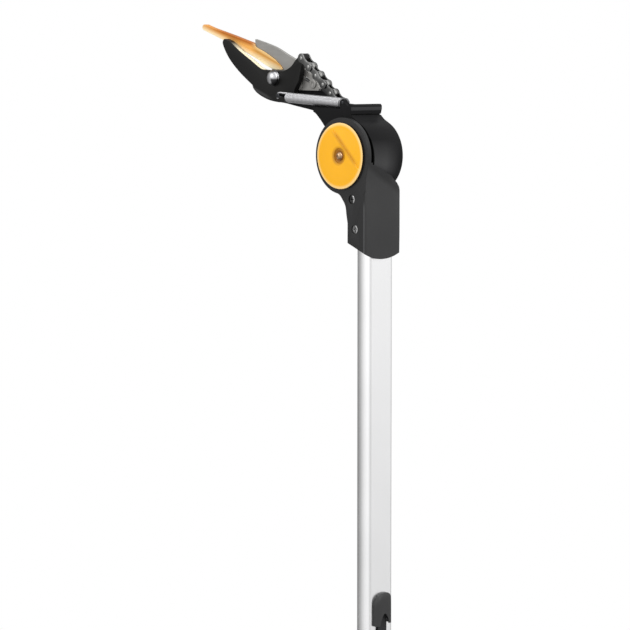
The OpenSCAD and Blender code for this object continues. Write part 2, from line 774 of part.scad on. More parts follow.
module chain_rollers() {
    color("darkgray") for (k = [1 : chain_links]) difference() {
        rod(pin_at(k), roller_r, -roller_w / 2, roller_w / 2);
        rod(pin_at(k), chain_pin_r + fit, -roller_w, roller_w);
    }
}

// Two plates that join the chain's last pin to the eye of the strap
module clip_outline() {
    translate(pin_at(chain_links)) rotate(chain_angle) difference() {
        union() {
            circle(plate_r);
            translate([clip_len, 0]) circle(plate_r);
            translate([0, -0.8 * plate_r]) square([clip_len, 1.6 * plate_r]);
        }
        circle(chain_pin_r + fit);
        translate([clip_len, 0]) circle(chain_pin_r + fit);
    }
}

module strap_clip() {
    color("gray") union() {
        across(outer_y, outer_y + plate_t) clip_outline();
        across(-outer_y - plate_t, -outer_y) clip_outline();
    }
}

module clip_pin() {
    color("silver") rod(eye_at, chain_pin_r, -pin_half, pin_half);
}

// Places on the spring's wire: on an end loop, and along its curls
function on_loop(x, a) = [x + loop_r * cos(a), 0, loop_r * sin(a)];
function on_curl(t) = let (a = 360 * spring_turns * t)
    [body_x0 + body_len * t, coil_r * sin(a), coil_r * cos(a)];

// Tube of triangles along a path, each ring square to the path
function unit(v) = v / norm(v);
function heading(p, i) = unit(p[min(i + 1, len(p) - 1)] - p[max(i - 1, 0)]);
function ring(p, i, r) = let (h = heading(p, i), u = unit(cross(h, [0.31, 0.9, 0.17])), v = cross(h, u))
    [for (k = [0 : wire_sides - 1]) let (a = 360 * k / wire_sides) p[i] + r * (u * cos(a) + v * sin(a))];
module tube(p, r) {
    n = len(p);
    s = wire_sides;
    points = [for (i = [0 : n - 1]) each ring(p, i, r)];
    sides = [for (i = [0 : n - 2]) for (k = [0 : s - 1]) let (a = i * s + k, b = i * s + (k + 1) % s)
        each [[a, b, a + s], [b, b + s, a + s]]];
    end = (n - 1) * s;
    caps = [for (k = [1 : s - 2]) each [[0, k + 1, k], [end, end + k, end + k + 1]]];
    polyhedron(points, concat(sides, caps));
}

// Least gap between stretches of the wire that are over half a curl apart
function wire_gap(p) = min([for (i = [0 : len(p) - 1]) for (j = [i + curl_rings / 2 : len(p) - 1])
    norm(p[i] - p[j])]) - wire_d;

module return_spring() {
    echo(least_spring_gap = wire_gap(spring_path));
    color("lightgray") translate([jaw_post[0], spring_y, hinge_z + jaw_post[1]])
        rotate([0, -spring_angle, 0]) tube(spring_path, wire_d / 2);
}

// Orange guard: a pocket over the blade's point and a channel along its edge
module guard_outline() {
    low = smooth([[-107.6, 44.5], [-81.3, 35.8], [-56.7, 27.2], [-35.2, 19.2], [-18.1, 11.6],
        [-11, 8.9], [-4, 7.7]], 5);
    top = [[5, 8.7], [1.8, 11.9], [-6.2, 17.5], [-18.9, 23.6], [-32.6, 28.8], [-34.2, 31.4], [-65.5, 39.6],
        [-94.7, 46.6]];
    polygon(from(pivot, concat(low, [[4.6, 7.5]], top, arc([-107.6, 47.4], 2.9, 80, 260, 8))));
}

module blade_guard() {
    room = 0.5;
    heel_x = -12;
    edge = [for (p = blade_edge) if (p[0] < heel_x) p + [0, -room]];
    shoulder_x = blade_spine[0][0] - 0.3;
    spine = [for (p = blade_spine) [min(p[0], shoulder_x), p[1] + room]];
    mouth = [[heel_x - 0.8, 9], [6, 5], [30, 60], [shoulder_x, 60]];
    pocket = concat([[-105.4, 45.4]], edge, mouth, spine, [[-105.4, 47]]);
    color([0.91, 0.68, 0.40]) difference() {
        across(guard_y0, guard_y1) guard_outline();
        across(blade_y0 - guard_clear, blade_y1 + guard_clear) polygon(from(pivot, pocket));
    }
}

// Sideways course of the strap at the outlet, and a flat band along a path
function s_bend(t) = strap_x + (run_x - strap_x) * (1 - cos(180 * t)) / 2;
function flat_side(p, i) = let (d = unit(p[min(i + 1, len(p) - 1)] - p[max(i - 1, 0)])) [-d[1], d[0]];
module band(p) {
    half = strap_t / 2;
    polygon(concat([for (i = [0 : len(p) - 1]) p[i] + half * flat_side(p, i)],
        [for (i = [len(p) - 1 : -1 : 0]) p[i] - half * flat_side(p, i)]));
}

module pull_strap() {
    color([0.12, 0.12, 0.12]) union() {
        across(-strap_w / 2, strap_w / 2) band(strap_line);
        across(-eye_w / 2, eye_w / 2) difference() {
            union() {
                translate(eye_at) circle(eye_r);
                band(eye_line);
            }
            translate(eye_at) circle(chain_pin_r + fit);
        }
    }
}

// Crimped end that holds the strap in the handle
module strap_ferrule() {
    wall = 0.6;
    side = 1;
    floor_t = 2;
    color("silver") translate([run_x - strap_t / 2 - wall, -strap_w / 2 - side, ferrule_z])
        difference() {
            cube([strap_t + 2 * wall + 0.2, strap_w + 2 * side, ferrule_h]);
            translate([wall - fit, side - fit, floor_t])
                cube([strap_t + 2 * fit, strap_w + 2 * fit, ferrule_h]);
        }
}

// Hood over the strap's outlet, open downwards
module outlet_hood() {
    side_gap = 1;
    roof = 6;
    color([0.24, 0.24, 0.25]) difference() {
        translate([flat_x, 0, 0]) rotate([90, 0, 90]) linear_extrude(hood_x - flat_x) union() {
            translate([-hood_w / 2, outlet_z0]) square([hood_w, hood_h - hood_w / 2]);
            translate([0, outlet_z1 - hood_w / 2]) circle(hood_w / 2);
        }
        translate([flat_x - over, -strap_w / 2 - side_gap, outlet_z0 - over])
            cube([hood_x - hood_wall - flat_x + over, strap_w + 2 * side_gap, hood_h - roof + over]);
    }
}

// Orange handle core that slides on the tube, with a collar at each end
module handle_core() {
    collar = core_in + core_wall + grip_wall + 2.2;
    slot_gap = 0.8;
    nest_gap = 1.2;
    color([0.96, 0.70, 0.20]) difference() {
        translate([0, 0, handle_z]) union() {
            linear_extrude(handle_len) pole_section(core_in + core_wall);
            for (z = [0, handle_len - collar_h])
                translate([0, 0, z]) linear_extrude(collar_h) pole_section(collar);
        }
        translate([0, 0, handle_z - over]) linear_extrude(handle_len + 2 * over) pole_section(core_in);
        translate([0, -strap_w / 2 - slot_gap, ferrule_z + ferrule_h - over])
            cube([run_x + strap_t / 2 + slot_gap, strap_w + 2 * slot_gap, handle_len]);
        translate([0, -strap_w / 2 - nest_gap, ferrule_z - seat])
            cube([run_x + strap_t / 2 + nest_gap, strap_w + 2 * nest_gap, ferrule_h + 2 * seat]);
    }
}

// Ribbed rubber grip between the collars
module handle_grip() {
    length = handle_len - 2 * collar_h;
    rib = length / rib_count;
    rib_h = 0.6 * rib;
    rib_out = 1;
    outer = core_in + core_wall + grip_wall;
    color([0.15, 0.15, 0.15]) difference() {
        translate([0, 0, handle_z + collar_h]) union() {
            linear_extrude(length) pole_section(outer - rib_out);
            for (k = [0 : rib_count - 1])
                translate([0, 0, k * rib + (rib - rib_h) / 2]) linear_extrude(rib_h) pole_section(outer);
        }
        translate([0, 0, handle_z]) linear_extrude(handle_len) pole_section(core_in + core_wall);
    }
}

pole_tube();
butt_cap();
pole_socket();
socket_screws();
hinge_bolt();
hinge_washer();
hinge_nut();
tooth_ring();
lock_knob();
knob_screw();
head_frame();
drum_cover();
cover_screws();
strap_pulley();
pulley_bush();
cutting_blade();
blade_screws();
pivot_bolt();
pivot_nut();
pivot_washer();
hook_jaw();
jaw_bush();
jaw_spring_post();
chain_inner_links();
chain_outer_links();
chain_pins();
chain_rollers();
strap_clip();
clip_pin();
return_spring();
frame_spring_post();
blade_guard();
pull_strap();
strap_ferrule();
outlet_hood();
handle_core();
handle_grip();
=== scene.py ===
"""Looks of a tree pruner on a fixed pole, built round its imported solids.

Lengths are in millimetres and become metres where a mesh is made. X and Z lie in the plane of the head,
Z runs up the pole from its foot, and the lock knob faces -Y. Angles are in degrees.
"""

import json
import logging
import math
from contextlib import contextmanager
from dataclasses import dataclass, field
from enum import Enum
from typing import Iterable, Iterator, Sequence

import bpy
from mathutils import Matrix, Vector

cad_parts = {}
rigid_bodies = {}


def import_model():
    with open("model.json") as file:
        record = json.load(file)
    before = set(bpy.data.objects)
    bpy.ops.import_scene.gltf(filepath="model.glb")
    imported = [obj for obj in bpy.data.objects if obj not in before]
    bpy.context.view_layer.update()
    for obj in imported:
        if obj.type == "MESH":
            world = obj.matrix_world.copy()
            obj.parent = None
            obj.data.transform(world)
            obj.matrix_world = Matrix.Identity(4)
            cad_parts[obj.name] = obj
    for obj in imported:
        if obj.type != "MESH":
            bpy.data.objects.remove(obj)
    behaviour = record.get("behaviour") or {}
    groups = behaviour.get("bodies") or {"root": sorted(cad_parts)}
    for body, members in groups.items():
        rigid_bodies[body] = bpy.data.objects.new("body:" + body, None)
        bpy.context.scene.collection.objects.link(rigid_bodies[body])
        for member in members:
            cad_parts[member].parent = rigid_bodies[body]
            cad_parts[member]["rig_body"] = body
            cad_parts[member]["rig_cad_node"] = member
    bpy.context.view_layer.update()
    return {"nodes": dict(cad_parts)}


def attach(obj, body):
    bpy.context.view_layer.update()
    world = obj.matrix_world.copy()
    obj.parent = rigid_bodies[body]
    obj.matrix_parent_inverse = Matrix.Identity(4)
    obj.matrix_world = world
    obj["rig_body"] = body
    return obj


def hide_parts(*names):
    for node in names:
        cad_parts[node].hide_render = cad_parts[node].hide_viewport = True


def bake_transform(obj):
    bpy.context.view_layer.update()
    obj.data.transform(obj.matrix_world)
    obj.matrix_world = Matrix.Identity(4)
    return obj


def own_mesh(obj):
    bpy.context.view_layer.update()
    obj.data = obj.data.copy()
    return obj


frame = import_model()

LOG = logging.getLogger("pruner")
MM = 0.001
WELD = 1e-6  # corners closer than this, in metres, are one
TINY = 1e-6  # least divisor
ONE_FACE = 0.4  # facets of a solid that turn less than this are one face
Flat = tuple[float, float]
Spot = tuple[float, float, float]
Colour = tuple[float, float, float]
Piece = bpy.types.Object
Socket = bpy.types.NodeSocket

LEFT: Spot = (-1.0, 0.0, 0.0)
RIGHT: Spot = (1.0, 0.0, 0.0)
NEAR: Spot = (0.0, -1.0, 0.0)
FAR: Spot = (0.0, 1.0, 0.0)
DOWN: Spot = (0.0, 0.0, -1.0)
UP: Spot = (0.0, 0.0, 1.0)

HINGE: Flat = (-18.0, 1460.0)
PIVOT: Flat = (-134.2, 1529.1)
TUBE_HALF_FLAT = 9.0
TUBE_RADIUS = 16.0


class Body(Enum):
    """Moving bodies that new pieces ride on."""

    POLE = "pole"
    KNOB = "knob"
    HEAD = "head"
    JAW = "jaw"
    CHAIN = "chain"
    SPRING = "spring"
    GUARD = "guard"
    HANDLE = "handle"


class Slot(Enum):
    """Names of the material slots in the part's record."""

    POLE = "pole_alu"
    SOCKET = "socket_black"
    HEAD = "head_black"
    KNOB = "knob_orange"
    GUARD = "guard_orange"
    JAW = "jaw_black"
    BLADE = "blade_steel"
    FASTENER = "fastener_steel"
    BOLT = "bolt_chrome"
    CHAIN = "chain_steel"
    SPRING = "spring_steel"
    STRAP = "strap_web"
    RUBBER = "rubber_black"


def smooth(points: Sequence[Flat], steps: int = 4) -> list[Flat]:
    """Draw a curve through a few points.

    Args:
        points: Points that the curve passes through.
        steps: Points per stretch.

    Returns:
        Points along the curve.
    """
    drawn: list[Flat] = []
    top = len(points) - 1
    for i in range(top):
        a, b, c, d = points[max(i - 1, 0)], points[i], points[i + 1], points[min(i + 2, top)]
        for t in (k / steps for k in range(steps)):
            drawn.append(tuple(
                (2 * q + (r - p) * t + (2 * p - 5 * q + 4 * r - s) * t**2
                 + (3 * q - p - 3 * r + s) * t**3) / 2
                for p, q, r, s in zip(a, b, c, d)))
    return drawn + [tuple(points[top])]


def arc(centre: Flat, radius: float, start: float, end: float, steps: int = 12) -> list[Flat]:
    """Draw part of a circle.

    Args:
        centre: Centre of the circle.
        radius: Its radius.
        start: First angle.
        end: Last angle.
        steps: Stretches along the arc.

    Returns:
        Points along the arc.
    """
    angles = [math.radians(start + (end - start) * k / steps) for k in range(steps + 1)]
    return [(centre[0] + radius * math.cos(a), centre[1] + radius * math.sin(a)) for a in angles]


def dome(seat: float, radius: float, rise: float, steps: int) -> list[Flat]:
    """Draw the section of a domed head that rises towards -Y.

    Args:
        seat: Y of its rim.
        radius: Radius of its rim.
        rise: Its height.
        steps: Stretches from the rim to the top.

    Returns:
        Radius and Y of points from the rim to the top.
    """
    angles = [math.radians(90 * k / steps) for k in range(steps + 1)]
    return [(radius * math.cos(a), seat - rise * math.sin(a)) for a in angles]


def evenly(low: float, high: float, count: int) -> list[float]:
    """Divide a stretch into equal steps, both ends included."""
    return [low + (high - low) * k / count for k in range(count + 1)]


def moved(points: Iterable[Flat], by: Flat) -> list[Flat]:
    """Count points from another origin."""
    return [(x + by[0], z + by[1]) for x, z in points]


def by_pivot(right: float, up: float) -> Spot:
    """Find a spot in the plane of the head, counted from the pivot."""
    return (PIVOT[0] + right, 0.0, PIVOT[1] + up)


def sideways(points: Sequence[Flat]) -> list[Flat]:
    """Find the way across a line at each of its points.

    Args:
        points: The line.

    Returns:
        A step of unit length to the line's left, for each point.
    """
    steps = []
    for i in range(len(points)):
        (x0, z0), (x1, z1) = points[max(i - 1, 0)], points[min(i + 1, len(points) - 1)]
        length = math.hypot(x1 - x0, z1 - z0)
        steps.append(((z0 - z1) / length, (x1 - x0) / length))
    return steps


def ribbon(points: Sequence[Flat], half: float) -> list[Flat]:
    """Outline a band of even width along a line.

    Args:
        points: The middle line.
        half: Half of the band's width.

    Returns:
        The band's outline.
    """
    left, right = ([(x + off * u, z + off * w) for (x, z), (u, w) in zip(points, sideways(points))]
                   for off in (half, -half))
    return left + right[::-1]


def oval(grow: float, count: int = 96, crisp: float = 26.0) -> list[Flat]:
    """Section of the tube, grown all round.

    Args:
        grow: How far the outline stands off the tube.
        count: Points round the section.
        crisp: How tight the four corners are.

    Returns:
        X and Y of the outline.
    """
    half, radius = TUBE_HALF_FLAT + grow, TUBE_RADIUS + grow
    outline = []
    for k in range(count):
        a = 2 * math.pi * (k + 0.5) / count
        reach = half / max(abs(math.cos(a)), TINY)
        r = (radius**-crisp + reach**-crisp) ** (-1 / crisp)
        outline.append((r * math.cos(a), r * math.sin(a)))
    return outline


def level(outline: Iterable[Flat], z: float) -> list[Spot]:
    """Lay an X and Y outline at a height."""
    return [(x, y, z) for x, y in outline]


class Bench:
    """Blender's operators, used as hand tools on one piece at a time."""

    @staticmethod
    def clear() -> None:
        """Select nothing."""
        bpy.ops.object.select_all(action="DESELECT")

    @classmethod
    def pick(cls, *pieces: Piece) -> None:
        """Select pieces and nothing else, the last one active.

        Args:
            pieces: The pieces.
        """
        cls.clear()
        for piece in pieces:
            piece.select_set(True)
            bpy.context.view_layer.objects.active = piece

    @classmethod
    def drop(cls, piece: Piece) -> None:
        """Throw a piece away."""
        cls.pick(piece)
        bpy.ops.object.delete()

    @staticmethod
    def named(name: str) -> Piece:
        """Name the active piece and its mesh."""
        bpy.context.object.name = bpy.context.object.data.name = name
        return bpy.context.object

    @staticmethod
    def place(piece: Piece, spots: Iterable[Spot]) -> None:
        """Set every corner of a piece."""
        piece.data.vertices.foreach_set("co", [c * MM for spot in spots for c in spot])
        piece.data.update()

    @staticmethod
    @contextmanager
    def editing() -> Iterator[None]:
        """Hold the active piece in edit mode, all of it selected.

        Returns:
            A context that ends in object mode.
        """
        bpy.ops.object.mode_set(mode="EDIT")
        bpy.ops.mesh.select_all(action="SELECT")
        yield
        bpy.ops.object.mode_set(mode="OBJECT")

    @classmethod
    def tidy_skin(cls, fill: bool = False) -> None:
        """Weld the active piece's seams and turn its faces outwards.

        Args:
            fill: Closes its open ends too.
        """
        with cls.editing():
            bpy.ops.mesh.remove_doubles(threshold=WELD)
            if fill:
                bpy.ops.mesh.fill_holes(sides=0)
            bpy.ops.mesh.select_all(action="SELECT")
            bpy.ops.mesh.normals_make_consistent(inside=False)
            bpy.ops.mesh.delete_loose(use_verts=True, use_edges=True, use_faces=False)

    @classmethod
    def plate(cls, name: str, outline: Sequence[Flat], y0: float, y1: float) -> Piece:
        """Cut a flat plate to an outline in the plane of the head.

        Args:
            name: The piece's name.
            outline: X and Z of its corners, in order.
            y0: Near face.
            y1: Far face.

        Returns:
            The plate.
        """
        cls.clear()
        bpy.ops.mesh.primitive_circle_add(vertices=len(outline), radius=MM, fill_type="NGON")
        piece = cls.named(name)
        cls.place(piece, [(x, y0, z) for x, z in outline])
        with cls.editing():
            bpy.ops.mesh.extrude_region_move(TRANSFORM_OT_translate={"value": (0, (y1 - y0) * MM, 0)})
        cls.tidy_skin()
        return piece

    @classmethod
    def turn(cls, name: str, profile: Sequence[Flat], at: Flat, steps: int) -> Piece:
        """Turn a piece on a lathe whose axis runs along Y.

        Args:
            name: The piece's name.
            profile: Radius and Y of each corner of the closed section.
            at: X and Z of the axis.
            steps: Facets round the axis.

        Returns:
            The turned piece.
        """
        cls.clear()
        bpy.ops.mesh.primitive_circle_add(vertices=len(profile), radius=MM, fill_type="NOTHING")
        piece = cls.named(name)
        cls.place(piece, [(at[0] + r, y, at[1]) for r, y in profile])
        with cls.editing():
            bpy.ops.mesh.spin(
                steps=steps, angle=2 * math.pi, center=(at[0] * MM, 0, at[1] * MM), axis=(0, 1, 0))
        cls.tidy_skin()
        return piece

    @classmethod
    def wrap(cls, name: str, rows: Sequence[Sequence[Spot]], ring: bool = False) -> Piece:
        """Stretch a skin over rows of spots, each row closed on itself.

        Args:
            name: The piece's name.
            rows: Rows of equal counts along the piece.
            ring: Joins the last row to the first; otherwise both ends are closed.

        Returns:
            The skin, with a UV map in metres.
        """
        cls.clear()
        loops = [list(row) + [row[0]] for row in rows]
        if ring:
            loops.append(loops[0])
        bpy.ops.mesh.primitive_grid_add(
            x_subdivisions=len(loops[0]) - 1, y_subdivisions=len(loops) - 1, size=MM)
        piece = cls.named(name)
        cls.place(piece, [spot for loop in loops for spot in loop])
        cls.measure_uv(piece, loops)
        cls.tidy_skin(fill=not ring)
        return piece

    @staticmethod
    def measure_uv(piece: Piece, loops: Sequence[Sequence[Spot]]) -> None:
        """Lay a skin's UV map out in metres, U round each row and V along the rows.

        Args:
            piece: The skin, before its seams are welded.
            loops: Its rows of spots.
        """
        middle = loops[len(loops) // 2]
        across, along = [0.0], [0.0]
        for a, b in zip(middle, middle[1:]):
            across.append(across[-1] + math.dist(a, b) * MM)
        for a, b in zip(loops, loops[1:]):
            along.append(along[-1] + math.dist(a[0], b[0]) * MM)
        chart = piece.data.uv_layers.active.data
        for corner in piece.data.loops:
            row, column = divmod(corner.vertex_index, len(middle))
            chart[corner.index].uv = (across[column], along[row])

    @classmethod
    def box(cls, name: str, low: Spot, high: Spot) -> Piece:
        """Make a block to cut with.

        Args:
            name: The block's name.
            low: Its low corner.
            high: Its high corner.

        Returns:
            The block.
        """
        cls.clear()
        bpy.ops.mesh.primitive_cube_add(size=1)
        piece = cls.named(name)
        cls.place(piece, [[(low[i], high[i])[v.co[i] > 0] for i in range(3)] for v in piece.data.vertices])
        return piece

    @classmethod
    def cut(cls, piece: Piece, tool: Piece) -> None:
        """Cut one piece with another, and throw the cutter away.

        Args:
            piece: The piece to cut.
            tool: The cutter.
        """
        cls.pick(piece)
        bpy.ops.object.modifier_add(type="BOOLEAN")
        cutter = piece.modifiers[-1]
        cutter.operation = "DIFFERENCE"
        cutter.solver = "EXACT"
        cutter.object = tool
        bpy.ops.object.modifier_apply(modifier=cutter.name)
        cls.drop(tool)

    @classmethod
    def drill(cls, piece: Piece, at: Spot, radius: float, depth: float, sides: int = 48,
              turn: Spot = (90.0, 0.0, 0.0)) -> None:
        """Drill a hole.

        Args:
            piece: The piece to drill.
            at: Middle of the hole.
            radius: Its radius.
            depth: Its length.
            sides: Flats of the drill.
            turn: Turn of the drill from upright; along Y unless it is given.
        """
        cls.clear()
        bpy.ops.mesh.primitive_cylinder_add(
            vertices=sides, radius=radius * MM, depth=depth * MM, location=[c * MM for c in at],
            rotation=[math.radians(a) for a in turn])
        cls.cut(piece, cls.named("drill"))

    @classmethod
    def soften(cls, piece: Piece, width: float, segments: int = 3, angle: float = 35.0) -> None:
        """Round the sharp edges of a piece.

        Args:
            piece: The piece.
            width: Width of the rounding.
            segments: Facets across it.
            angle: Edges sharper than this are rounded.
        """
        cls.pick(piece)
        bpy.ops.object.modifier_add(type="BEVEL")
        edge = piece.modifiers[-1]
        edge.width = width * MM
        edge.segments = segments
        edge.limit_method = "ANGLE"
        edge.angle_limit = math.radians(angle)
        edge.use_clamp_overlap = True
        bpy.ops.object.modifier_apply(modifier=edge.name)

    @classmethod
    def polish(cls, piece: Piece, angle: float = 32.0) -> None:
        """Shade a piece smooth, apart from edges sharper than an angle."""
        cls.pick(piece)
        bpy.ops.object.shade_smooth_by_angle(angle=math.radians(angle))

    @classmethod
    def cast(cls, name: str, node: str, edge: float, segments: int) -> Piece:
        """Copy a solid of the part, weld its faces and round its edges.

        Args:
            name: The piece's name.
            node: The solid's name.
            edge: Radius of its edges.
            segments: Facets across each edge.

        Returns:
            The copy.
        """
        cls.pick(frame["nodes"][node])
        bpy.ops.object.duplicate()
        bpy.ops.object.parent_clear(type="CLEAR_KEEP_TRANSFORM")
        bpy.ops.mesh.customdata_custom_splitnormals_clear()
        piece = cls.named(name)
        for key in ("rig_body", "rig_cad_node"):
            del piece[key]
        with cls.editing():
            bpy.ops.mesh.remove_doubles(threshold=WELD)
            bpy.ops.mesh.dissolve_limited(angle_limit=math.radians(ONE_FACE))
        cls.soften(piece, edge, segments)
        cls.polish(piece)
        return piece

    @classmethod
    def copy(cls, piece: Piece, at: Spot, turn: float) -> Piece:
        """Copy a piece with its own mesh.

        Args:
            piece: The piece, modelled at the origin.
            at: Where the copy's origin goes.
            turn: Its turn in the plane of the head.

        Returns:
            The copy.
        """
        cls.pick(piece)
        bpy.ops.object.duplicate()
        made = bpy.context.object
        made.location = [c * MM for c in at]
        made.rotation_euler = (0, -math.radians(turn), 0)
        bpy.ops.object.transform_apply(location=True, rotation=True, scale=True)
        return made

    @classmethod
    def join(cls, name: str, pieces: Sequence[Piece]) -> Piece:
        """Make one piece of several.

        Args:
            name: The new piece's name.
            pieces: What it is made of.

        Returns:
            The new piece.
        """
        cls.pick(*pieces)
        bpy.ops.object.join()
        return cls.named(name)

    @classmethod
    def copies(cls, name: str, master: Piece, spots: Iterable[Spot], turn: float = 0.0) -> Piece:
        """Copy a master to several places as one piece."""
        return cls.join(name, [cls.copy(master, spot, turn) for spot in spots])


class Graph:
    """A node tree that is laid out as it grows."""

    APART = 220
    MIX_INPUTS = (0, 6, 7)  # share, first and second colour of a mix node
    MIX_OUTPUT = 2

    def __init__(self, tree: bpy.types.NodeTree) -> None:
        """Start with an empty tree."""
        self.tree = tree
        tree.nodes.clear()

    @classmethod
    def of(cls, owner: bpy.types.Material | bpy.types.World) -> "Graph":
        """Start the nodes of a material or a world."""
        owner.use_nodes = True
        return cls(owner.node_tree)

    def add(self, kind: str, inputs: dict | None = None, **settings: object) -> bpy.types.Node:
        """Add a node.

        Args:
            kind: The node's type.
            inputs: Values or sockets for its inputs, by name or number.
            settings: Its own settings.

        Returns:
            The node.
        """
        node = self.tree.nodes.new(kind)
        node.location = (self.APART * len(self.tree.nodes), 0)
        for key, value in settings.items():
            setattr(node, key, value)
        for key, value in (inputs or {}).items():
            if isinstance(value, Socket):
                self.tree.links.new(value, node.inputs[key])
            else:
                node.inputs[key].default_value = value
        return node

    def place(self, kind: str = "Object") -> Socket:
        """Give the place on the piece, or on its UV map."""
        return self.add("ShaderNodeTexCoord").outputs[kind]

    def maths(self, operation: str, *values: object) -> Socket:
        """Combine values or sockets by a sum."""
        return self.add("ShaderNodeMath", dict(enumerate(values)), operation=operation).outputs[0]

    def vector(self, operation: str, *values: object) -> Socket:
        """Combine vectors, to a vector or to a number."""
        node = self.add("ShaderNodeVectorMath", dict(enumerate(values)), operation=operation)
        return node.outputs["Value" if operation in ("DOT_PRODUCT", "LENGTH") else "Vector"]

    def reach(self, first: Socket, second: Socket) -> Socket:
        """Find how far off a place lies from its two offsets."""
        squares = [self.maths("MULTIPLY", offset, offset) for offset in (first, second)]
        return self.maths("SQRT", self.maths("ADD", *squares))

    def noise(self, place: Socket, scale: object, detail: float) -> Socket:
        """Lay noise over places."""
        node = self.add("ShaderNodeTexNoise", {"Vector": place, "Scale": scale, "Detail": detail})
        return node.outputs[0]

    def spread(self, value: Socket, low: float, high: float, to_low: float = 0.0,
               to_high: float = 1.0) -> Socket:
        """Move a value from one range to another, cut off at the ends."""
        node = self.add("ShaderNodeMapRange", {0: value, 1: low, 2: high, 3: to_low, 4: to_high})
        return node.outputs[0]

    def mix(self, share: object, first: object, second: object) -> Socket:
        """Mix two colours.

        Args:
            share: How much of the second one, as a number or a socket.
            first: First colour or its socket.
            second: Second colour or its socket.

        Returns:
            Socket of the mixed colour.
        """
        ends = [(*end, 1.0) if isinstance(end, tuple) else end for end in (first, second)]
        inputs = dict(zip(self.MIX_INPUTS, (share, *ends)))
        return self.add("ShaderNodeMix", inputs, data_type="RGBA").outputs[self.MIX_OUTPUT]


class Effect:
    """A surface effect that finishes share: a node group that is made once."""

    name = ""
    inputs: tuple[str, ...] = ()
    outputs: tuple[str, ...] = ()

    @classmethod
    def tree(cls) -> bpy.types.NodeTree:
        """Give the effect's group, made on first use.

        Returns:
            The group.
        """
        ready = bpy.data.node_groups.get(cls.name)
        if ready:
            return ready
        made = bpy.data.node_groups.new(cls.name, "ShaderNodeTree")
        for way, keys in (("INPUT", cls.inputs), ("OUTPUT", cls.outputs)):
            for key in keys:
                made.interface.new_socket(key, in_out=way, socket_type="NodeSocketFloat")
        graph = Graph(made)
        entry = graph.add("NodeGroupInput").outputs
        graph.add("NodeGroupOutput", cls.fill(graph, {key: entry[key] for key in cls.inputs}))
        return made

    @classmethod
    def lay(cls, graph: Graph, **values: float) -> bpy.types.bpy_prop_collection:
        """Place the effect in a material, with that material's own values."""
        return graph.add("ShaderNodeGroup", values, node_tree=cls.tree()).outputs

    @classmethod
    def fill(cls, graph: Graph, given: dict) -> dict:
        """Lay the group's own nodes and give the sockets of its outputs."""
        raise NotImplementedError


class MouldedGrain(Effect):
    """Fine moulded grain and broad, soft patches of tone."""

    name = "moulded_grain"
    inputs = ("Fine", "Broad")
    outputs = ("Height", "Patch")
    fine_detail = 2.0
    broad_detail = 3.0
    contrast: Flat = (0.3, 0.7)

    @classmethod
    def fill(cls, graph: Graph, given: dict) -> dict:
        """Lay the group's own nodes.

        Args:
            graph: The group's graph.
            given: Sockets of its inputs by name.

        Returns:
            Sockets of its outputs by name.
        """
        place = graph.place()
        fine = graph.noise(place, given["Fine"], cls.fine_detail)
        broad = graph.noise(place, given["Broad"], cls.broad_detail)
        return {"Height": fine, "Patch": graph.spread(broad, *cls.contrast)}


class RubbedEdges(Effect):
    """Rubbed edges, broken up by noise."""

    name = "rubbed_edges"
    inputs = ("Radius", "Break")
    outputs = ("Mask",)
    turned: Flat = (0.995, 0.9)
    chipped: Flat = (0.42, 0.62)
    detail = 4.0

    @classmethod
    def fill(cls, graph: Graph, given: dict) -> dict:
        """Lay the group's own nodes.

        Args:
            graph: The group's graph.
            given: Sockets of its inputs by name.

        Returns:
            Sockets of its outputs by name.
        """
        flat = graph.add("ShaderNodeNewGeometry").outputs["Normal"]
        eased = graph.add("ShaderNodeBevel", {"Radius": given["Radius"]}, samples=6).outputs[0]
        edge = graph.spread(graph.vector("DOT_PRODUCT", flat, eased), *cls.turned)
        broken = graph.spread(graph.noise(graph.place(), given["Break"], cls.detail), *cls.chipped)
        return {"Mask": graph.maths("MULTIPLY", edge, broken)}


class DrawnLines(Effect):
    """Drawing or grinding lines: noise that is stretched along one axis."""

    name = "drawn_lines"
    inputs = ("X", "Y", "Z")
    outputs = ("Lines",)
    detail = 3.0

    @classmethod
    def fill(cls, graph: Graph, given: dict) -> dict:
        """Lay the group's own nodes and give the sockets of its outputs."""
        scale = graph.add("ShaderNodeCombineXYZ", given).outputs[0]
        return {"Lines": graph.noise(graph.vector("MULTIPLY", graph.place(), scale), 1.0, cls.detail)}


class WebbingWeave(Effect):
    """Webbing: rows of slanted threads on the UV map."""

    name = "webbing_weave"
    inputs = ("Thread",)
    outputs = ("Height", "Shade")
    slant = 2.2
    row_rise = 0.6
    thread_rise = 0.25

    @classmethod
    def fill(cls, graph: Graph, given: dict) -> dict:
        """Lay the group's own nodes.

        Args:
            graph: The group's graph.
            given: Sockets of its inputs by name.

        Returns:
            Sockets of its outputs by name.
        """
        u, v, _ = graph.add("ShaderNodeSeparateXYZ", {0: graph.place("UV")}).outputs
        turn = graph.maths("DIVIDE", 2 * math.pi, given["Thread"])
        across, along = (graph.maths("MULTIPLY", run, turn) for run in (u, v))
        rows = graph.maths("ABSOLUTE", graph.maths("SINE", graph.maths("MULTIPLY", across, 0.5)))
        shifted = graph.maths("ADD", along, graph.maths("MULTIPLY", rows, cls.slant))
        threads = graph.maths("MULTIPLY", graph.maths("SINE", shifted), cls.thread_rise)
        height = graph.maths("ADD", graph.maths("MULTIPLY", rows, cls.row_rise), threads)
        return {"Height": height, "Shade": graph.spread(height, 0.0, cls.row_rise + cls.thread_rise)}


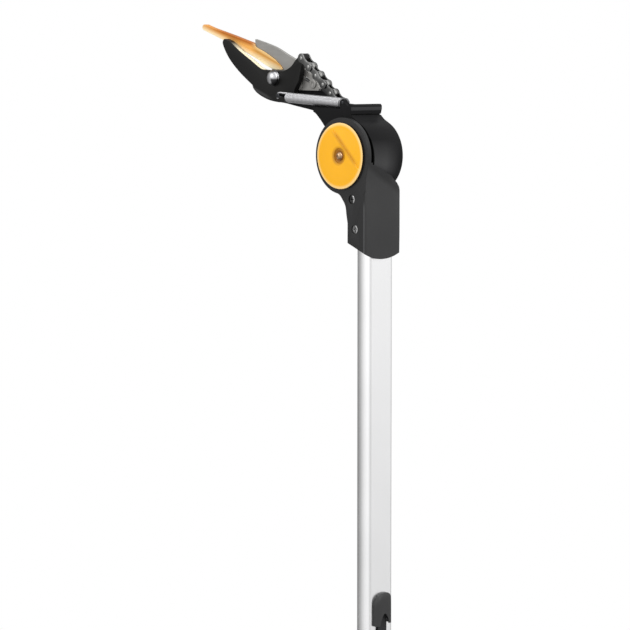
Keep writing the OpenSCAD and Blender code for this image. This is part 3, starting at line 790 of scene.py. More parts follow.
@dataclass(frozen=True)
class Tide:
    """Change of colour across a piece along a direction; with a band, only on both sides of its place."""

    way: Spot
    at: Spot
    width: float
    colour: Colour = (0.0, 0.0, 0.0)
    share: float = 1.0
    band: float = 0.0
    within: "Tide | None" = None

    def mask(self, graph: Graph) -> Socket:
        """Lay the nodes of the change.

        Args:
            graph: The material's graph.

        Returns:
            Socket of the change, from none to its share.
        """
        off = graph.vector("SUBTRACT", graph.place(), tuple(c * MM for c in self.at))
        run = graph.vector("DOT_PRODUCT", off, self.way)
        if self.band:
            run = graph.maths("SUBTRACT", self.band * MM, graph.maths("ABSOLUTE", run))
        mask = graph.spread(run, -0.5 * self.width * MM, 0.5 * self.width * MM, 0.0, self.share)
        return graph.maths("MULTIPLY", mask, self.within.mask(graph)) if self.within else mask


@dataclass(frozen=True)
class Finish:
    """A finish with moulded or cast grain, broad changes of tone and rubbed edges."""

    name: str
    colour: Colour
    roughness: float
    metallic: float = 0.0
    specular: float = 0.5
    grain: float = 1400.0
    relief: float = 0.06
    relief_depth: float = 0.2
    patch: float = 0.08
    vary: float = 0.06
    broad: float = 28.0
    worn: Colour = (0.4, 0.4, 0.4)
    wear: float = 0.0
    wear_radius: float = 0.7
    wear_break: float = 160.0
    bare_metal: bool = False
    tides: tuple[Tide, ...] = ()

    def material(self) -> bpy.types.Material:
        """Give the finish's material, made on first use.

        Returns:
            The material.
        """
        ready = bpy.data.materials.get(self.name)
        if ready:
            return ready
        made = bpy.data.materials.new(self.name)
        self.compose(Graph.of(made))
        made.diffuse_color = (*self.colour, 1.0)
        return made

    def shade(self, part: float) -> Colour:
        """Lighten or darken the finish's colour by a part of itself."""
        return tuple(min(c * (1 + part), 1.0) for c in self.colour)

    def toned(self, graph: Graph, mask: Socket, part: float) -> Socket:
        """Vary the finish's colour by a part of itself, both ways."""
        return graph.mix(mask, self.shade(-part), self.shade(part))

    def roughened(self, graph: Graph, mask: Socket) -> Socket:
        """Vary the finish's roughness over the surface."""
        return graph.spread(mask, 0.0, 1.0, self.roughness - self.vary, self.roughness + self.vary)

    def grained(self, graph: Graph) -> tuple[Socket, Socket]:
        """Lay the finish's grain, and give its relief and its broad patches."""
        laid = MouldedGrain.lay(graph, Fine=self.grain, Broad=self.broad)
        return laid["Height"], laid["Patch"]

    def washed(self, graph: Graph, colour: Socket) -> Socket:
        """Lay the finish's tides over its colour.

        Args:
            graph: The material's graph.
            colour: Socket of the colour.

        Returns:
            Socket of the changed colour.
        """
        for tide in self.tides:
            colour = graph.mix(tide.mask(graph), colour, tide.colour)
        return colour

    def compose(self, graph: Graph) -> None:
        """Lay the finish's nodes.

        Args:
            graph: The material's graph.
        """
        height, patch = self.grained(graph)
        colour = self.washed(graph, self.toned(graph, patch, self.patch))
        metal = None
        if self.wear:
            edge = RubbedEdges.lay(graph, Radius=self.wear_radius * MM, Break=self.wear_break)["Mask"]
            mask = graph.maths("MULTIPLY", edge, self.wear)
            colour = graph.mix(mask, colour, self.worn)
            metal = mask if self.bare_metal else None
        self.close(graph, colour, self.roughened(graph, patch), height, metal)

    def close(self, graph: Graph, colour: Socket, rough: Socket, height: Socket,
              metal: Socket | None = None) -> None:
        """Join colour, roughness and relief in the shader.

        Args:
            graph: The material's graph.
            colour: Socket of the colour.
            rough: Socket of the roughness.
            height: Socket of the relief.
            metal: Socket of the bare metal, where it shows only in places.
        """
        bump = graph.add("ShaderNodeBump", {
            "Strength": self.relief, "Distance": self.relief_depth * MM, "Height": height})
        shader = graph.add("ShaderNodeBsdfPrincipled", {
            "Base Color": colour, "Roughness": rough, "Normal": bump.outputs[0],
            "Specular IOR Level": self.specular, "Metallic": self.metallic if metal is None else metal})
        graph.add("ShaderNodeOutputMaterial", {"Surface": shader.outputs[0]})


@dataclass(frozen=True)
class DrawnMetal(Finish):
    """Bare metal with drawing or grinding lines along one axis."""

    metallic: float = 1.0
    lines: Spot = (900.0, 900.0, 6.0)
    contrast: Flat = (0.3, 0.7)
    line_tone: float = 0.1

    def compose(self, graph: Graph) -> None:
        """Lay the finish's nodes.

        Args:
            graph: The material's graph.
        """
        _, patch = self.grained(graph)
        drawn = DrawnLines.lay(graph, **dict(zip("XYZ", self.lines)))["Lines"]
        strokes = graph.spread(drawn, *self.contrast)
        both = graph.maths("MULTIPLY", graph.maths("ADD", strokes, patch), 0.5)
        colour = self.washed(graph, self.toned(graph, both, self.line_tone))
        self.close(graph, colour, self.roughened(graph, both), strokes)


@dataclass(frozen=True)
class Webbing(Finish):
    """Woven strap."""

    thread: float = 1.4
    sunk: float = 0.5
    raised: float = 0.6

    def compose(self, graph: Graph) -> None:
        """Lay the finish's nodes.

        Args:
            graph: The material's graph.
        """
        weave = WebbingWeave.lay(graph, Thread=self.thread * MM)
        colour = graph.mix(weave["Shade"], self.shade(-self.sunk), self.shade(self.raised))
        rough = graph.spread(weave["Shade"], 0.0, 1.0, self.roughness + self.vary, self.roughness - self.vary)
        self.close(graph, colour, rough, weave["Height"])


@dataclass(frozen=True)
class KnobPlastic(Finish):
    """Glossy plastic of the lock knob, with a painted highlight at its rim and painted shade round its screw
    and along its step.
    """

    rim: Flat = (26.6, 29.2)
    rim_highlight_colour: Colour = (1.0, 0.68, 0.27)
    rim_highlight_share: float = 0.95
    painted_shade_colour: Colour = (0.24, 0.075, 0.009)
    dish: float = 9.4
    dish_shift: float = -1.4
    dish_share: float = 0.95
    crease_off: float = 10.0
    crease: Flat = (0.3, 3.4)
    crease_share: float = 0.5
    crease_end: Flat = (18.0, 26.0)
    patchy: float = 0.8
    under: Colour = (0.03, 0.014, 0.004)
    under_depth: Flat = (-26.7, -26.4)
    under_reach: Flat = (28.6, 28.9)

    def compose(self, graph: Graph) -> None:
        """Lay the finish's nodes.

        Args:
            graph: The material's graph.
        """
        height, patch = self.grained(graph)
        colour = self.toned(graph, patch, self.patch)
        x, y, z = graph.add("ShaderNodeSeparateXYZ", {0: graph.place()}).outputs
        u = graph.maths("SUBTRACT", x, HINGE[0] * MM)
        w = graph.maths("SUBTRACT", z, HINGE[1] * MM)
        reach = graph.reach(u, w)
        # Painted highlight: a pale band round the rim, where its rounding catches the light.
        rim = graph.spread(reach, *self.millimetres(self.rim), 0.0, self.rim_highlight_share)
        colour = graph.mix(rim, colour, self.rim_highlight_colour)
        # Painted shade in the dish round the screw and along the step's crease, broken up by the patches.
        painted_shade_mask = graph.maths("MULTIPLY", self.painted_shade_mask(graph, u, w, reach),
                           graph.spread(patch, 0.0, 1.0, self.patchy, 1.0))
        colour = graph.mix(painted_shade_mask, colour, self.painted_shade_colour)
        below = graph.spread(y, *self.millimetres(self.under_depth))
        side = graph.spread(reach, *self.millimetres(self.under_reach))
        colour = graph.mix(graph.maths("MULTIPLY", below, side), colour, self.under)
        self.close(graph, colour, self.roughened(graph, patch), height)

    def painted_shade_mask(self, graph: Graph, u: Socket, w: Socket, reach: Socket) -> Socket:
        """Lay the painted shade in the dish and along the crease.

        Args:
            graph: The material's graph.
            u: Offset to the right of the knob's middle.
            w: Offset up from it.
            reach: Distance from it.

        Returns:
            Socket of the painted shade's mask.
        """
        near = graph.reach(graph.maths("SUBTRACT", u, self.dish_shift * MM), w)
        sunk = graph.spread(near, 0.5 * self.dish * MM, self.dish * MM, self.dish_share, 0.0)
        slope = graph.maths("MULTIPLY", graph.maths("ADD", u, w), math.sqrt(0.5))
        off = graph.maths("ABSOLUTE", graph.maths("SUBTRACT", slope, self.crease_off * MM))
        line = graph.spread(off, *self.millimetres(self.crease), self.crease_share, 0.0)
        inside = graph.spread(reach, *self.millimetres(self.crease_end), 1.0, 0.0)
        return graph.maths("MAXIMUM", sunk, graph.maths("MULTIPLY", line, inside))

    @staticmethod
    def millimetres(ends: Flat) -> Flat:
        """Give a range that is measured in millimetres in Blender's unit."""
        return (ends[0] * MM, ends[1] * MM)


DARK: Colour = (0.02, 0.02, 0.02)
ROUND_Y: Spot = (400.0, 40.0, 400.0)
MACHINED: Spot = (700.0, 60.0, 700.0)

ALUMINIUM = DrawnMetal("satin_aluminium", (0.9, 0.9, 0.905), 0.24, relief=0.02, lines=(700.0, 700.0, 3.0),
                       line_tone=0.02, vary=0.04)

SOCKET_STEM = Tide(DOWN, (0.0, 0.0, HINGE[1] - 43.0), 8.0)
# Painted shade: the near faces of the stem and cheek are darker, as the side turned from the light.
SOCKET_NEAR_SHADE = Tide(NEAR, (0.0, -23.4, 0.0), 0.6, (0.016, 0.016, 0.0165))
# Painted highlight: a pale line down the stem's front corner, below the cheek.
SOCKET_CORNER_HIGHLIGHT = Tide(
    (0.5, -0.866, 0.0), (11.0, -23.9, 0.0), 0.3, (0.12, 0.121, 0.124), 0.9, within=SOCKET_STEM)
# Painted shade: the socket is darker towards its top on the far side, under the drum.
SOCKET_TOP_SHADE = Tide((0.0, 0.5, 0.866), (0.0, 7.0, 1433.0), 5.0, (0.013, 0.013, 0.0135))
SOCKET_BLACK = Finish("socket_nylon", (0.03, 0.03, 0.0305), 0.46, specular=0.25,
                      tides=(SOCKET_NEAR_SHADE, SOCKET_CORNER_HIGHLIGHT, SOCKET_TOP_SHADE))

# Painted light: the lower drum is lighter on its near side, so that it runs smoothly into the socket's tone.
DRUM_NEAR = Tide(NEAR, (0.0, 9.0, 0.0), 16.0)
DRUM_LOWER_LIGHT = Tide(DOWN, (0.0, 0.0, HINGE[1] + 4.0), 22.0, (0.055, 0.055, 0.056), within=DRUM_NEAR)
# Painted highlight: a lighter band along the middle of the lip's end.
LIP = Tide(RIGHT, (-15.0, 0.0, 0.0), 1.0)
LIP_HIGHLIGHT = Tide(UP, (0.0, 0.0, 1502.4), 0.8, (0.045, 0.045, 0.047), band=1.5, within=LIP)
SLIT = Tide(UP, (0.0, 0.0, HINGE[1] + 3.0), 3.0, band=14.0)
SLIT_SHADOW = Tide(
    (0.0, -0.9987, -0.05), (0.0, -14.1, HINGE[1] - 5.0), 0.5, (0.003, 0.003, 0.003), within=SLIT)
HEAD_BLACK = Finish("head_nylon", (0.012, 0.012, 0.0125), 0.42, specular=0.03, worn=(0.03, 0.03, 0.03),
                    wear=0.2, tides=(DRUM_LOWER_LIGHT, LIP_HIGHLIGHT, SLIT_SHADOW))
# Near-black tooth ring: a painted shadow that darkens the slit.
RING_SHADOW_BLACK = Finish("slit_shadow_black", (0.002, 0.002, 0.002), 0.9, specular=0.05, patch=0.3)

KNOB_ORANGE = KnobPlastic(
    "knob_orange_gloss", (0.94, 0.45, 0.006), 0.3, specular=0.25, patch=0.03, relief=0.02)
HANDLE_ORANGE = Finish("handle_orange_gloss", (0.9, 0.42, 0.01), 0.32, specular=0.45, patch=0.04, relief=0.03,
                       worn=(0.98, 0.62, 0.2), wear=0.4)

GUARD_POINT = Tide(RIGHT, by_pivot(-100.0, 0.0), 40.0)
GUARD_POCKET = Tide(LEFT, by_pivot(-33.0, 0.0), 8.0, within=GUARD_POINT)
GUARD_CHANNEL = Tide(RIGHT, by_pivot(-36.0, 0.0), 8.0, (0.64, 0.34, 0.09), 0.9)
# Painted highlight: a pale band along the guard's rounded lower edge.
GUARD_EDGE_HIGHLIGHT = Tide((-0.334, 0.0, -0.9426), by_pivot(-56.5, 29.4), 5.6, (1.0, 0.88, 0.58), 0.95)
GUARD_SHADE = Tide(
    (0.2436, 0.0, 0.97), by_pivot(4.8, 19.0), 3.4, (0.42, 0.115, 0.006), 0.95, within=GUARD_POCKET)
GUARD_LINE = Tide((0.334, 0.0, 0.9426), by_pivot(-18.9, 20.2), 1.2, (0.5, 0.2, 0.02), 0.55, band=0.8,
                  within=GUARD_CHANNEL)
# Painted highlight: a pale beige line along the upper rim of the channel.
GUARD_RIM_HIGHLIGHT = Tide(
    (0.39, 0.0, 0.92), by_pivot(4.84, 11.4), 1.6, (0.85, 0.62, 0.3), 0.6, within=GUARD_CHANNEL)
GUARD_ORANGE = Finish("guard_orange_soft", (0.86, 0.42, 0.1), 0.34, specular=0.12, patch=0.1, relief=0.03,
                      tides=(GUARD_CHANNEL, GUARD_EDGE_HIGHLIGHT, GUARD_SHADE, GUARD_LINE, GUARD_RIM_HIGHLIGHT))

JAW_POINT = Tide(RIGHT, by_pivot(-56.0, 0.0), 12.0)
JAW_HOOK = Tide(LEFT, by_pivot(-15.0, 0.0), 5.0, within=JAW_POINT)
JAW_INNER = Tide((0.497, 0.0, 0.868), by_pivot(-1.8, -3.2), 1.2, within=JAW_HOOK)
JAW_STRIPE = Tide(FAR, (0.0, 0.0, 0.0), 0.5, (0.9, 0.84, 0.64), 0.95, band=2.3, within=JAW_INNER)
# Painted highlight: a grey band just inside the lower edge of the jaw's bulge.
JAW_BULGE = Tide(LEFT, by_pivot(-6.0, 0.0), 10.0)
JAW_EDGE_HIGHLIGHT = Tide((-0.346, 0.0, -0.938), by_pivot(-15.4, -15.4), 2.0, (0.05, 0.05, 0.05), 0.8, band=1.3,
                 within=JAW_BULGE)
JAW_BLACK = Finish("jaw_coating", (0.0075, 0.0073, 0.007), 0.42, specular=0.15, grain=900.0,
                   worn=(0.3, 0.29, 0.28), wear=0.3, wear_radius=0.4, bare_metal=True,
                   tides=(JAW_STRIPE, JAW_EDGE_HIGHLIGHT))

# Painted shade in and round the curved slot in the blade's tang.
SLOT_MIDDLE = by_pivot(37.0, -1.2)
SLOT_LENGTH = Tide((0.899, 0.0, -0.439), SLOT_MIDDLE, 1.0, band=4.6)
SLOT_SHADE = Tide((0.439, 0.0, 0.899), SLOT_MIDDLE, 1.0, DARK, 0.9, band=1.3, within=SLOT_LENGTH)
BLADE_STEEL = DrawnMetal("ground_blade_steel", (0.28, 0.273, 0.259), 0.46, metallic=0.3,
                         lines=(60.0, 900.0, 900.0), line_tone=0.1, relief=0.06, tides=(SLOT_SHADE,))

# Painted dark reflections on the bolt's dome: over its lower right, along its bottom and round its top.
BOLT_SIDE = Tide(RIGHT, by_pivot(1.4, 0.0), 1.6)
BOLT_PAINTED_REFLECTIONS = (
    Tide(DOWN, by_pivot(0.0, -0.6), 1.6, (0.02, 0.02, 0.021), 0.95, within=BOLT_SIDE),
    Tide(DOWN, by_pivot(0.0, -4.6), 2.0, (0.02, 0.02, 0.021), 0.95),
    Tide(UP, by_pivot(0.0, 5.2), 1.4, (0.05, 0.05, 0.052), 0.9))
BOLT_CHROME = DrawnMetal("polished_bolt", (0.42, 0.42, 0.43), 0.34, lines=ROUND_Y, relief=0.01,
                         line_tone=0.03, vary=0.03, tides=BOLT_PAINTED_REFLECTIONS)

# Painted shade: the chain is darker towards its lower right end.
CHAIN_LOWER_SHADE = Tide(RIGHT, (-72.0, 0.0, 0.0), 34.0, (0.05, 0.05, 0.05), 0.5)
CHAIN_STEEL = Finish("oiled_chain_steel", (0.13, 0.13, 0.128), 0.32, metallic=1.0, patch=0.35, broad=140.0,
                     worn=(0.5, 0.5, 0.48), wear=0.45, wear_radius=0.4, tides=(CHAIN_LOWER_SHADE,))
PIN_STEEL = DrawnMetal("chain_pin_steel", (0.34, 0.34, 0.33), 0.34, lines=ROUND_Y, relief=0.03)

# The rear hook is darker; the coils are darker towards their top, a painted shade.
SPRING_COILS = Tide(RIGHT, (-107.0, 0.0, 0.0), 1.0)
SPRING_DARK_HOOK_AND_TOP_SHADE = (
    Tide(RIGHT, (-32.0, 0.0, 0.0), 2.5, (0.03, 0.03, 0.031)),
    Tide((0.055, 0.0, 0.998), (-72.0, 0.0, 1512.3), 5.0, (0.2, 0.2, 0.205), 0.75, within=SPRING_COILS))
SPRING_STEEL = DrawnMetal("bright_spring_wire", (0.5, 0.5, 0.51), 0.45, lines=(60.0, 500.0, 500.0),
                          relief=0.02, line_tone=0.05, tides=SPRING_DARK_HOOK_AND_TOP_SHADE)

# Painted shadows on the left of each socket screw: near black on the upper one, grey on the lower.
SCREW_SHADOW: Spot = (-0.989, 0.0, -0.1465)
SCREW_MIDDLE: Spot = (-3.9, 0.0, HINGE[1] - 39.0)
BETWEEN_SCREWS: Spot = (0.0, 0.0, HINGE[1] - 60.0)
SCREW_PAINTED_SHADOWS = (
    Tide(SCREW_SHADOW, SCREW_MIDDLE, 1.2, DARK, 0.95, within=Tide(UP, BETWEEN_SCREWS, 4.0)),
    Tide(SCREW_SHADOW, SCREW_MIDDLE, 1.2, (0.16, 0.16, 0.16), 0.9, within=Tide(DOWN, BETWEEN_SCREWS, 4.0)))
SCREW_STEEL = DrawnMetal(
    "socket_screw_steel", (0.5, 0.5, 0.5), 0.34, lines=ROUND_Y, relief=0.03, tides=SCREW_PAINTED_SHADOWS)
KNOB_STEEL = DrawnMetal("knob_screw_steel", (0.42, 0.28, 0.17), 0.36, lines=ROUND_Y, relief=0.03)
FASTENER = DrawnMetal("zinc_plated_steel", (0.6, 0.6, 0.59), 0.3, lines=MACHINED, relief=0.05)
BLACK_OXIDE = Finish("blackened_screws", (0.05, 0.052, 0.056), 0.32, metallic=1.0, patch=0.2, broad=160.0,
                     worn=(0.4, 0.41, 0.43), wear=0.6, wear_radius=0.3)
STRAP_WEB = Webbing("woven_strap", (0.02, 0.02, 0.021), 0.8, specular=0.25, relief=0.6)
RUBBER = Finish("soft_black_rubber", DARK, 0.66, specular=0.3, relief=0.12, worn=(0.06, 0.06, 0.06), wear=0.5)
BRASS = DrawnMetal("machined_brass", (0.62, 0.42, 0.17), 0.3, lines=MACHINED)
PULLEY_GREY = Finish("pulley_acetal", (0.5, 0.5, 0.49), 0.45, worn=(0.7, 0.7, 0.7), wear=0.3)


def fit(piece: Piece, body: Body, finish: Finish, slot: Slot, *nodes: str) -> None:
    """Dress a finished piece and set it on its body.

    Args:
        piece: The piece, in place.
        body: The body that it moves with.
        finish: Its finish.
        slot: The record's slot for that finish; not used.
        nodes: Solids that it stands for.
    """
    piece.data.materials.clear()
    piece.data.materials.append(finish.material())
    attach(piece, body.value)
    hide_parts(*nodes)
    LOG.info("%s on %s, %d faces", piece.name, body.value, len(piece.data.polygons))


def recast(name: str, node: str, body: Body, finish: Finish, slot: Slot = Slot.FASTENER, *, edge: float,
           segments: int = 2) -> None:
    """Put a copy of a solid with rounded edges in its place."""
    fit(Bench.cast(name, node, edge, segments), body, finish, slot, node)


def dress(finish: Finish, *nodes: str) -> None:
    """Give solids that stay in view a finish.

    Args:
        finish: The finish.
        nodes: Names of the solids.
    """
    for name in nodes:
        solid = frame["nodes"][name]
        if not solid.material_slots:
            solid.data.materials.append(None)
        for place in solid.material_slots:
            place.material = finish.material()
        LOG.info("%s stays, in %s", name, finish.name)


@dataclass
class Studio:
    """Floor, lights and the camera."""

    target: Spot = (-120.05, 36.2, 1305.45)
    azimuth: float = 47.6
    elevation: float = 4.95
    distance: float = 3000.0
    lens: float = 181.31
    sensor: float = 36.0
    view_end: float = 100.0
    facets: int = 96
    floor_radius: float = 2600.0
    floor_fade: float = 0.45
    floor_tone: Colour = (0.9, 0.9, 0.9)
    floor_mirrored: Colour = (0.25, 0.25, 0.25)
    air_level: float = 0.72
    lamp_aim: Spot = (-60.0, 0.0, 1450.0)
    lamps: tuple[tuple[str, Flat, float, float, float], ...] = (
        ("key_lamp", (88.0, 38.0), 2600.0, 1500.0, 36.0),
        ("fill_lamp", (-20.0, 26.0), 2800.0, 1600.0, 22.0),
        ("top_lamp", (40.0, 82.0), 2200.0, 1300.0, 10.0))
    tent_radius: float = 3400.0
    tent_height: float = 4000.0
    tent_cloth: tuple[Flat, ...] = (
        (-180.0, 0.5), (-115.0, 0.2), (-84.0, 0.26), (-59.0, 0.42), (-39.0, 0.66), (-22.0, 0.86),
        (-7.0, 0.98), (8.0, 1.0), (16.0, 0.92), (35.0, 0.72), (95.0, 0.66), (118.0, 0.8), (135.0, 0.85),
        (160.0, 0.62), (180.0, 0.5))
    tent_level: Flat = (0.792, 2.145)

    def build(self) -> None:
        """Set the whole studio up."""
        self.camera()
        self.floor()
        self.air()
        self.tent()
        for lamp in self.lamps:
            self.lamp(*lamp)

    def direction(self, azimuth: float, elevation: float) -> Vector:
        """Point from the object towards a place round it."""
        a, e = math.radians(azimuth), math.radians(elevation)
        return Vector((math.sin(a) * math.cos(e), -math.cos(a) * math.cos(e), math.sin(e)))

    def camera(self) -> None:
        """Stand the camera where the photograph was taken from."""
        Bench.clear()
        back = self.direction(self.azimuth, self.elevation)
        bpy.ops.object.camera_add(location=(Vector(self.target) + back * self.distance) * MM)
        camera = bpy.context.object
        camera.name = "photo_camera"
        camera.rotation_euler = (-back).to_track_quat("-Z", "Y").to_euler()
        camera.data.lens = self.lens
        camera.data.sensor_width = self.sensor
        camera.data.clip_end = self.view_end
        bpy.context.scene.camera = camera

    def floor(self) -> None:
        """Lay a round pale floor that fades out at its rim."""
        Bench.clear()
        radius = self.floor_radius * MM
        bpy.ops.mesh.primitive_circle_add(vertices=self.facets, radius=radius, fill_type="NGON")
        floor = Bench.named("studio_floor")
        made = bpy.data.materials.new("pale_floor")
        graph = Graph.of(made)
        fade = graph.spread(graph.vector("LENGTH", graph.place()), self.floor_fade * radius, radius)
        mirrored = graph.add("ShaderNodeLightPath").outputs["Is Glossy Ray"]
        tone = graph.mix(mirrored, self.floor_tone, self.floor_mirrored)
        pale = graph.add("ShaderNodeBsdfDiffuse", {"Color": tone})
        gone = graph.add("ShaderNodeBsdfTransparent")
        both = graph.add("ShaderNodeMixShader", {0: fade, 1: pale.outputs[0], 2: gone.outputs[0]})
        graph.add("ShaderNodeOutputMaterial", {"Surface": both.outputs[0]})
        floor.data.materials.append(made)

    def air(self) -> None:
        """Fill the room with soft white light, and show white behind the object."""
        world = bpy.data.worlds.new("white_tent")
        graph = Graph.of(world)
        path = graph.add("ShaderNodeLightPath").outputs
        seen = graph.maths("MAXIMUM", path["Is Camera Ray"],
                           graph.maths("MAXIMUM", path["Is Glossy Ray"], path["Is Transmission Ray"]))
        strength = graph.spread(seen, 0.0, 1.0, self.air_level, 1.0)
        light = graph.add("ShaderNodeBackground", {"Color": (1.0, 1.0, 1.0, 1.0), "Strength": strength})
        graph.add("ShaderNodeOutputWorld", {"Surface": light.outputs[0]})
        bpy.context.scene.world = world

    def lamp(self, name: str, seat: Flat, distance: float, size: float, power: float) -> None:
        """Hang a soft lamp that looks at the head.

        Args:
            name: The lamp's name.
            seat: Its azimuth and elevation round the head.
            distance: How far off it hangs.
            size: Width of its face.
            power: Its power in watts.
        """
        Bench.clear()
        way = self.direction(*seat)
        bpy.ops.object.light_add(type="AREA", location=(Vector(self.lamp_aim) + way * distance) * MM)
        lamp = bpy.context.object
        lamp.name = name
        lamp.rotation_euler = (-way).to_track_quat("-Z", "Y").to_euler()
        lamp.data.shape = "DISK"
        lamp.data.size = size * MM
        lamp.data.energy = power

    def tent(self) -> None:
        """Stand a round wall of lighter and darker cloth out of view, which only shiny surfaces mirror."""
        Bench.clear()
        height = self.tent_height * MM
        bpy.ops.mesh.primitive_cylinder_add(
            vertices=self.facets, radius=self.tent_radius * MM, depth=height, end_fill_type="NOTHING")
        wall = Bench.named("tent_wall")
        wall.location.z = height / 2
        made = bpy.data.materials.new("tent_cloth")
        graph = Graph.of(made)
        x, y, z = graph.add("ShaderNodeSeparateXYZ", {0: graph.place()}).outputs
        round_wall = graph.maths("ARCTAN2", x, graph.maths("MULTIPLY", y, -1.0))
        cloth = graph.add("ShaderNodeValToRGB", {0: graph.spread(round_wall, -math.pi, math.pi)})
        stops = cloth.color_ramp.elements
        for spare in range(1, len(self.tent_cloth) - 1):
            stops.new(spare / 100)
        for stop, (azimuth, tone) in zip(stops, self.tent_cloth):
            stop.position = (azimuth + 180.0) / 360.0
            stop.color = (tone, tone, tone, 1.0)
        rise = graph.spread(z, -height / 2, height / 2, *self.tent_level)
        glow = graph.add("ShaderNodeEmission", {"Color": cloth.outputs[0], "Strength": rise})
        graph.add("ShaderNodeOutputMaterial", {"Surface": glow.outputs[0]})
        wall.data.materials.append(made)
        wall.visible_camera = wall.visible_diffuse = wall.visible_shadow = wall.visible_transmission = False


@dataclass
class Pole:
    """Tube, butt cap, socket with its screws, and the strap's outlet hood."""

    cap_profile: tuple[Flat, ...] = (
        (-8.4, 0.0), (0.4, 0.0), (1.6, 0.5), (2.2, 1.4), (2.4, 2.6), (2.4, 38.0), (1.9, 38.6), (1.9, 40.4),
        (2.4, 41.0), (2.4, 44.0), (1.9, 44.6), (1.9, 46.4), (2.4, 47.0), (2.4, 50.0), (1.9, 50.6),
        (1.9, 52.4), (2.4, 53.0), (2.4, 60.4), (2.1, 61.4), (1.4, 62.0), (0.5, 62.0), (0.16, 61.4),
        (0.16, 28.0), (-8.4, 28.0))
    tube_low: float = 28.0
    tube_high: float = 1416.0
    tube_wall: float = 1.5
    tube_crisp: float = 28.0
    tube_rows: int = 40
    tube_points: int = 128
    screw_hole: Spot = (-1.0, -TUBE_RADIUS, 1394.0)
    screw_hole_radius: float = 2.1
    screw_hole_depth: float = 12.0
    hang_hole: float = 4.5
    hang_rise: float = 14.0
    outlet_x: float = 2.0
    outlet_half: float = 6.5
    outlet_short: float = 2.0
    hood_low: float = 1031.0
    hood_high: float = 1061.0
    hood_half: float = 10.0
    hood_out: float = 5.8
    hood_peak: float = 4.0
    hood_short: float = 2.0
    hood_wall: float = 1.3
    hood_round: float = 2.6
    hood_square: float = 0.55
    hood_points: int = 28
    hood_rows: int = 9
    hood_row_step: float = 2.1
    hood_crown_rows: int = 14
    hood_least: float = 0.3
    hood_sliver: float = 0.0002
    hood_fade: float = 0.35
    hood_clear: float = 20.0
    hollow: Flat = (-2.0, 23.0)
    hollow_rows: int = 10
    hollow_skin: float = 0.05
    hollow_back: float = 1.0
    notch: tuple[Flat, ...] = (
        (-6.2, -2.0), (-5.0, 4.0), (-2.8, 9.0), (0.0, 11.4), (2.8, 9.0), (5.0, 4.0), (6.2, -2.0))
    notch_depth: float = 2.2
    trim_room: Flat = (3.0, 5.0)

    def build(self) -> None:
        """Make and dress every piece of the pole."""
        dress(FASTENER, "hinge_bolt")
        self.tube()
        self.cap()
        recast("socket_body", "pole_socket", Body.POLE, SOCKET_BLACK, Slot.SOCKET, edge=0.9, segments=3)
        recast("socket_pan_screws", "socket_screws", Body.POLE, SCREW_STEEL, edge=0.35)
        recast("slit_ring", "tooth_ring", Body.POLE, RING_SHADOW_BLACK, Slot.SOCKET, edge=0.15)
        self.hood()

    def tube(self) -> None:
        """Draw the oval tube with rounded corners, and cut the strap's outlet in its flat."""
        heights = evenly(self.tube_low, self.tube_high, self.tube_rows)
        outside, inside = (oval(grow, self.tube_points, self.tube_crisp) for grow in (0.0, -self.tube_wall))
        rows = [level(outside, z) for z in heights] + [level(inside, z) for z in heights[::-1]]
        tube = Bench.wrap("oval_tube", rows, ring=True)
        low, high = self.hood_low + self.outlet_short, self.hood_high - self.outlet_short
        Bench.cut(tube, Bench.box("outlet", (self.outlet_x, -self.outlet_half, low),
                                  (self.hood_clear, self.outlet_half, high)))
        Bench.drill(tube, self.screw_hole, self.screw_hole_radius, self.screw_hole_depth, sides=32)
        Bench.polish(tube, angle=40)
        fit(tube, Body.POLE, ALUMINIUM, Slot.POLE, "pole_tube")

    def cap(self) -> None:
        """Mould the rubber foot with its grip rings and hanging hole."""
        cap = Bench.wrap("foot_cap", [level(oval(grow), z) for grow, z in self.cap_profile])
        Bench.drill(cap, (0, 0, self.hang_rise), self.hang_hole, 4 * TUBE_RADIUS, turn=(0, 90, 0))
        Bench.soften(cap, width=0.5, segments=2, angle=60)
        Bench.polish(cap)
        fit(cap, Body.POLE, RUBBER, Slot.RUBBER, "butt_cap")

    def hood_row(self, z: float, inset: float) -> list[Spot]:
        """Section of the hood at a height.

        Args:
            z: The height.
            inset: How far the section lies inside the hood's skin.

        Returns:
            Spots from one side of the tube's flat, over the hood, to the other.
        """
        reach = []
        for sign in (-1.0, 1.0):
            width = self.hood_half - sign * self.hood_peak
            rise = max(z - self.hood_high + width, 0.0) / width
            reach.append(width * max(1 - rise**self.hood_round, self.hood_sliver) ** (1 / self.hood_round))
        half = max(sum(reach) / 2 - inset, self.hood_least)
        middle = self.hood_peak + (reach[1] - reach[0]) / 2
        swell = self.hood_fade + (1 - self.hood_fade) * sum(reach) / 2 / self.hood_half
        out = max(self.hood_out * swell - inset, self.hood_least)
        row = []
        for a in evenly(0.0, math.pi, self.hood_points):
            side = math.copysign(abs(math.cos(a)) ** self.hood_square, math.cos(a))
            row.append((TUBE_HALF_FLAT + out * math.sin(a) ** self.hood_square, middle - half * side, z))
        return row

